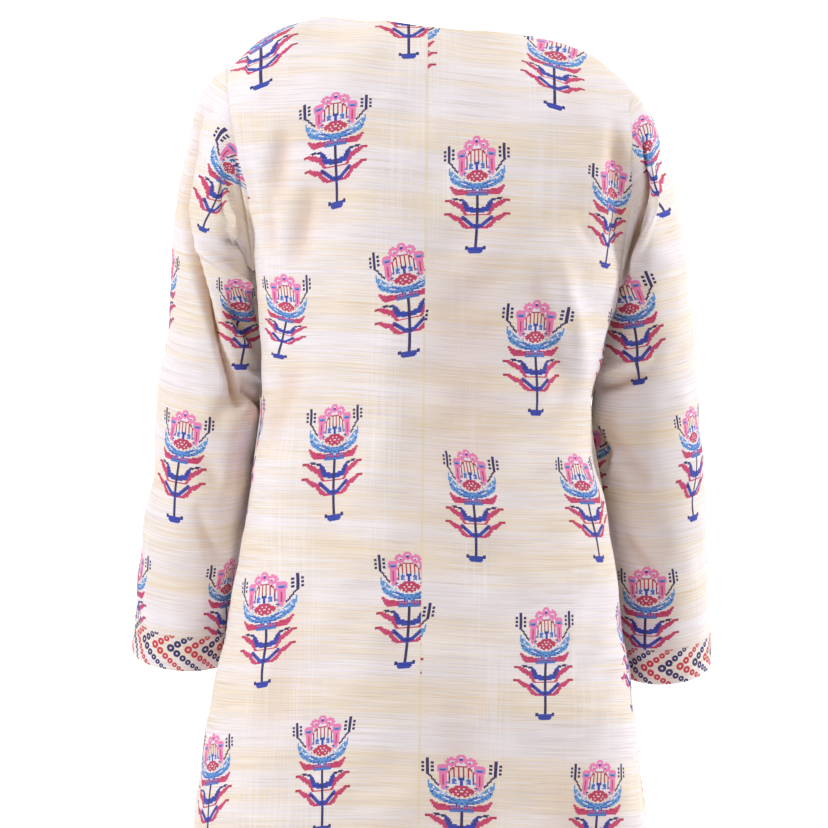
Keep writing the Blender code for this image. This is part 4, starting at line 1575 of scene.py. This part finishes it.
@dataclass(frozen=True)
class PrintedCotton:
    """Printed slub cotton."""

    name: str
    slubs: bpy.types.NodeTree
    figure: bpy.types.NodeTree
    roughness: float = 0.78
    sheen: float = 0.05
    ink_strength: float = 0.97
    wear: float = 0.08          # how much less ink takes on the thickest threads
    thread_roughness: float = 0.10
    sheen_roughness: float = 0.5
    specular: float = 0.2
    bump_strength: float = 0.6
    bump_height: float = 0.00022
    # Painted shade: a trough's cloth is tinted towards warm brown by its depth.
    painted_shade_strength: float = 0.80
    painted_hollow_shade: tuple = (0.72, 0.51, 0.36, 1)
    # Painted shade beside the back seam, in one warm colour with the neck facing's band.
    seam_strength: float = 0.55
    painted_seam_shade_and_facing: tuple = (0.84, 0.70, 0.46, 1)
    seam_edge: tuple = (0.0006, 0.0014)    # how far from the seam its painted shade starts and has gone

    def material(self) -> bpy.types.Material:
        """Makes the material.

        Returns:
            Cloth whose print sinks a little into thick threads, with warm shade painted into its colour
            in the troughs and beside the back seam.
        """
        material, bench, shader = new_material(self.name)
        weave = bench.node("Group", node_tree=self.slubs)
        figure = bench.node("Group", node_tree=self.figure)
        for group, layer in ((weave, WEAVE_UV), (figure, PRINT_UV)):
            bench.feed(group.inputs[0], bench.node("UVMap", uv_map=layer).outputs[0])
        worn = bench.math("MULTIPLY_ADD", weave.outputs["Height"], -self.wear,
                          self.ink_strength + self.wear / 2)
        cover = bench.math("MULTIPLY", figure.outputs["Cover"], worn)
        # Painted shade: the cloth's colour turns warm brown in the troughs, by their depth.
        depth, to_seam, _ = bench.parts(bench.node("UVMap", uv_map=PAINTED_SHADE_UV).outputs[0])
        painted_shade_share = bench.math("MULTIPLY", depth, self.painted_shade_strength)
        cloth = bench.mix(painted_shade_share, weave.outputs["Colour"], self.painted_hollow_shade)
        # Painted shade beside the back seam, and the neck facing's band, in one warm colour.
        off_seam = bench.between(to_seam, *self.seam_edge)
        near = bench.math("MULTIPLY_ADD", off_seam, -self.seam_strength, self.seam_strength)
        cloth = bench.mix(near, cloth, self.painted_seam_shade_and_facing)
        bench.feed(shader.inputs["Base Color"], bench.mix(cover, cloth, figure.outputs["Colour"]))
        rough = bench.math("MULTIPLY_ADD", weave.outputs["Thread"], self.thread_roughness,
                           self.roughness)
        bench.feed(shader.inputs["Roughness"], rough)
        shader.inputs["Sheen Weight"].default_value = self.sheen
        shader.inputs["Sheen Roughness"].default_value = self.sheen_roughness
        shader.inputs["Specular IOR Level"].default_value = self.specular
        bump = bench.node("Bump")
        bump.inputs["Strength"].default_value = self.bump_strength
        bump.inputs["Distance"].default_value = self.bump_height
        bench.feed(bump.inputs["Height"], weave.outputs["Height"])
        bench.feed(shader.inputs["Normal"], bump.outputs[0])
        return material


@dataclass(frozen=True)
class Thread:
    """Sewing thread, twisted."""

    name: str = "sewing_thread"
    light: tuple = (0.80, 0.70, 0.55, 1.0)
    dark: tuple = (0.62, 0.52, 0.38, 1.0)
    twists: float = 900.0
    roughness: float = 0.6

    def material(self) -> bpy.types.Material:
        """Makes the material.

        Returns:
            Thread with the fine light and dark of its twist.
        """
        material, bench, shader = new_material(self.name)
        twist = bench.object_noise(self.twists)
        bench.feed(shader.inputs["Base Color"], bench.mix(twist, self.dark, self.light))
        shader.inputs["Roughness"].default_value = self.roughness
        return material


@dataclass(frozen=True)
class Paper:
    """Studio paper."""

    name: str = "studio_paper"
    glow: float = 0.0
    light: tuple = (0.90, 0.90, 0.90, 1.0)
    dark: tuple = (0.86, 0.86, 0.87, 1.0)
    teeth: float = 40.0
    roughness: float = 0.9

    def material(self) -> bpy.types.Material:
        """Makes the material.

        Returns:
            Matt white paper with a barely visible tooth, lit from itself where it glows.
        """
        material, bench, shader = new_material(self.name)
        tooth = bench.object_noise(self.teeth)
        bench.feed(shader.inputs["Base Color"], bench.mix(tooth, self.dark, self.light))
        shader.inputs["Roughness"].default_value = self.roughness
        shader.inputs["Emission Color"].default_value = (1.0, 1.0, 1.0, 1.0)
        shader.inputs["Emission Strength"].default_value = self.glow
        return material


# ---- Sewing ----
@dataclass
class StitchRun:
    """Lockstitches along a line on the cloth, each a small twisted bead."""

    name: str
    length: float = 0.0027
    space: float = 0.0006
    thick: float = 0.00042
    lift: float = 0.00045
    sides: int = 6
    ring_shares: tuple = (0.0, 0.18, 0.5, 0.82, 1.0)
    ring_widths: tuple = (0.35, 0.9, 1.0, 0.9, 0.35)

    def beads(self, line: np.ndarray, normals: np.ndarray) -> np.ndarray:
        """Places the stitches.

        Args:
            line: Points of the line.
            normals: The cloth's outward normals there.

        Returns:
            Stitches by their rings by the points of a ring.
        """
        travelled = np.concatenate([[0.0], np.cumsum(np.linalg.norm(np.diff(line, axis=0), axis=1))])
        pitch = self.length + self.space
        starts = np.arange(0.0, travelled[-1] - pitch, pitch)
        fat = np.array(self.ring_widths) * self.thick / 2
        at = starts[:, None] + np.array(self.ring_shares)[None, :] * self.length

        def read(values: np.ndarray) -> np.ndarray:
            """Reads values along the line.

            Args:
                values: One for each point of the line.

            Returns:
                Those at the stitches' rings.
            """
            return np.stack([np.interp(at, travelled, values[:, i]) for i in range(3)], axis=-1)

        centre, up = read(line), read(normals)
        up /= np.linalg.norm(up, axis=-1, keepdims=True)
        forward = np.gradient(centre, axis=1)
        forward /= np.linalg.norm(forward, axis=-1, keepdims=True)
        sideways = np.cross(forward, up)
        turn = np.arange(self.sides) * 2 * math.pi / self.sides
        ring = (sideways[..., None, :] * np.cos(turn)[:, None]
                + up[..., None, :] * np.sin(turn)[:, None]) * fat[:, None, None]
        return centre[..., None, :] + up[..., None, :] * self.lift + ring

    def build(self, runs: list, material: bpy.types.Material) -> bpy.types.Object:
        """Makes the stitches.

        Args:
            runs: Lines with their normals.
            material: The thread.

        Returns:
            One object with all the stitches.
        """
        beads = np.concatenate([self.beads(line, normals) for line, normals in runs])
        count, rings, around = beads.shape[:3]
        start = (np.arange(count) * rings * around)[:, None]
        ring, spoke = np.meshgrid(np.arange(rings - 1), np.arange(around), indexing="ij")
        a = (ring * around + spoke).ravel()
        b = (ring * around + (spoke + 1) % around).ravel()
        sides = np.stack([a, a + around, b + around, b], axis=-1)
        quads = (start[:, :, None] + sides[None]).reshape(-1, 4).tolist()
        ends = [(start + np.arange(around)[None, :]).tolist(),
                (start + ((rings - 1) * around + np.arange(around)[::-1])[None, :]).tolist()]
        piece = new_piece(self.name, tilted(beads).reshape(-1, 3).tolist(),
                          quads + ends[0] + ends[1], material)
        piece.data.shade_smooth()
        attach(piece, BODY)
        LOG.info("%s: %d stitches", self.name, count)
        return piece


def line_below_top(grid: ClothGrid, columns: np.ndarray, below: float) -> tuple:
    """A line on the cloth at a steady distance from a piece's first row.

    Args:
        grid: The piece.
        columns: The columns that it crosses.
        below: The distance.

    Returns:
        Its points and normals.
    """
    travelled = running_length(grid.points, axis=0)[:, columns]
    step = np.argmax(travelled > below, axis=0)
    low = np.take_along_axis(travelled, (step - 1)[None], axis=0)[0]
    high = np.take_along_axis(travelled, step[None], axis=0)[0]
    share = ((below - low) / (high - low))[:, None]
    first, second = grid.points[step - 1, columns], grid.points[step, columns]
    return first + (second - first) * share, grid.normals[step, columns]


# ---- Studio ----
@dataclass(frozen=True)
class SoftLight:
    """A large soft light."""

    name: str
    place: tuple
    aim: tuple
    size: float
    power: float
    colour: tuple = (1.0, 1.0, 1.0)

    def build(self) -> None:
        """Adds the light, turned to its aim."""
        data = bpy.data.lights.new(self.name, "AREA")
        data.shape = "DISK"
        data.size = self.size
        data.energy = self.power
        data.color = self.colour
        lamp = bpy.data.objects.new(self.name, data)
        lamp.location = self.place
        way = Vector(self.aim) - Vector(self.place)
        lamp.rotation_euler = way.to_track_quat("-Z", "Y").to_euler()
        bpy.context.scene.collection.objects.link(lamp)


@dataclass(frozen=True)
class Studio:
    """White paper, soft lights and the camera."""

    lights: tuple
    sky: float = 0.405
    sky_colour: tuple = (1.0, 0.862, 0.79, 1.0)
    backdrop_glow: float = 1.0
    backdrop: tuple = (10.0, 6.5, 9.3)   # half width, distance before the tunic and top
    floor_down: float = 1.60
    floor_half: float = 10.5
    sensor_width: float = 36.0
    clip: tuple = (0.1, 50.0)

    def plane(self, name: str, corners: list, material: bpy.types.Material) -> None:
        """Adds a flat sheet of paper.

        Args:
            name: Its name.
            corners: Its four corners.
            material: Its paper.
        """
        new_piece(name, corners, [(0, 1, 2, 3)], material)

    def build(self) -> None:
        """Sets the stage, the lights and the camera."""
        scene = bpy.context.scene
        world = bpy.data.worlds.new("studio_sky")
        world.use_nodes = True
        background = world.node_tree.nodes["Background"]
        background.inputs["Color"].default_value = self.sky_colour
        background.inputs["Strength"].default_value = self.sky
        scene.world = world
        scene.view_settings.view_transform = "Standard"
        down, half = -self.floor_down, self.floor_half
        self.plane("floor", [(-half, -half, down), (half, -half, down), (half, half, down),
                             (-half, half, down)],
                   Paper("floor_paper").material())
        wide, far, top = self.backdrop
        self.plane("backdrop", [(-wide, far, down), (wide, far, down), (wide, far, top),
                                (-wide, far, top)],
                   Paper("backdrop_paper", glow=self.backdrop_glow).material())
        for light in self.lights:
            light.build()
        data = bpy.data.cameras.new("view")
        data.sensor_width = self.sensor_width
        data.lens = self.sensor_width * VIEW.distance / VIEW.frame_width
        data.clip_start, data.clip_end = self.clip
        camera = bpy.data.objects.new("view", data)
        camera.matrix_world = VIEW.matrix()
        scene.collection.objects.link(camera)
        scene.camera = camera


# ---- The tunic ----
class Tunic:
    """The whole tunic: panels, sleeves with bands, and sewing."""

    def __init__(self) -> None:
        """Lays out the pieces."""
        half = half_columns()
        self.panels = [
            TorsoPanel("back_left", Face.BACK, -half[::-1], Cut(tuple(PINS["back_left"])),
                       (0.34, 1.09), 0.263, 11),
            TorsoPanel("back_right", Face.BACK, half, Cut(tuple(PINS["back_right"])),
                       (0.34, 1.09), 0.267, 11),
            TorsoPanel("front", Face.FRONT, np.concatenate([-half[::-1], half[1:]]),
                       Cut(across=0.0302, down=0.05), (0.66, 1.09), 0.516, 11),
        ]
        self.sleeves = [
            Sleeve(Side.LEFT, Cut(tuple(PINS["sleeve_left"])), (0.34, 0.52), 0.128, (0.31, 0.031),
                   -0.0049, 0.0, 21),
            Sleeve(Side.RIGHT, Cut(tuple(PINS["sleeve_right"])), (0.34, 0.52), 0.127, (0.31, 0.031),
                   0.0160, -0.0046, 22),
        ]

    def build(self) -> None:
        """Makes every piece."""
        slubs = slub_weave_group()
        flowers = PrintedCotton("flower_print_cotton", slubs, flower_group()).material()
        rings = PrintedCotton("ring_print_band", slubs, ring_group(), bump_height=0.00016).material()
        thread = Thread().material()
        neck, hem = [], []
        for panel in self.panels:
            grid = panel.build(flowers)
            columns = np.flatnonzero(np.abs(grid.points[0, :, 0]) < NECK_HALF)
            neck.append(line_below_top(grid, columns, NECK_TURN - NECK_STITCH_INSET))
            upturned = ClothGrid(grid.points[::-1], grid.normals[::-1], grid.flat, grid.thickness,
                                 grid.sign)
            hem.append(line_below_top(upturned, np.arange(grid.points.shape[1]),
                                      HEM_TURN - HEM_STITCH_INSET))
        StitchRun("stitches_neck").build(neck, thread)
        StitchRun("stitches_hem").build(hem, thread)
        for sleeve in self.sleeves:
            band = sleeve.build(flowers, rings)
            columns = np.append(np.arange(band.points.shape[1]), 0)
            run = line_below_top(band, columns, CUFF_STITCH_DOWN)
            StitchRun(f"stitches_cuff_{sleeve.label}", lift=CUFF_STITCH_LIFT).build([run], thread)


def main() -> None:
    """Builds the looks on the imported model."""
    logging.basicConfig(level=logging.INFO, format="%(name)s: %(message)s")
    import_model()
    Tunic().build()
    Studio(lights=(
        SoftLight("key", (-2.5, -1.65, 1.2), (0.0, 0.0, -0.35), 0.5, 74.0, (0.89, 0.935, 1.0)),
        SoftLight("rim", (2.8, 0.15, 0.4), (0.0, 0.0, -0.35), 0.8, 50.0, (0.90, 0.94, 1.0)),
        SoftLight("top", (0.9, -0.9, 2.2), (0.1, 0.0, -0.1), 1.2, 20.0, (0.86, 0.93, 1.0)),
    )).build()
    LOG.info("size written")


if __name__ == "__main__":
    main()
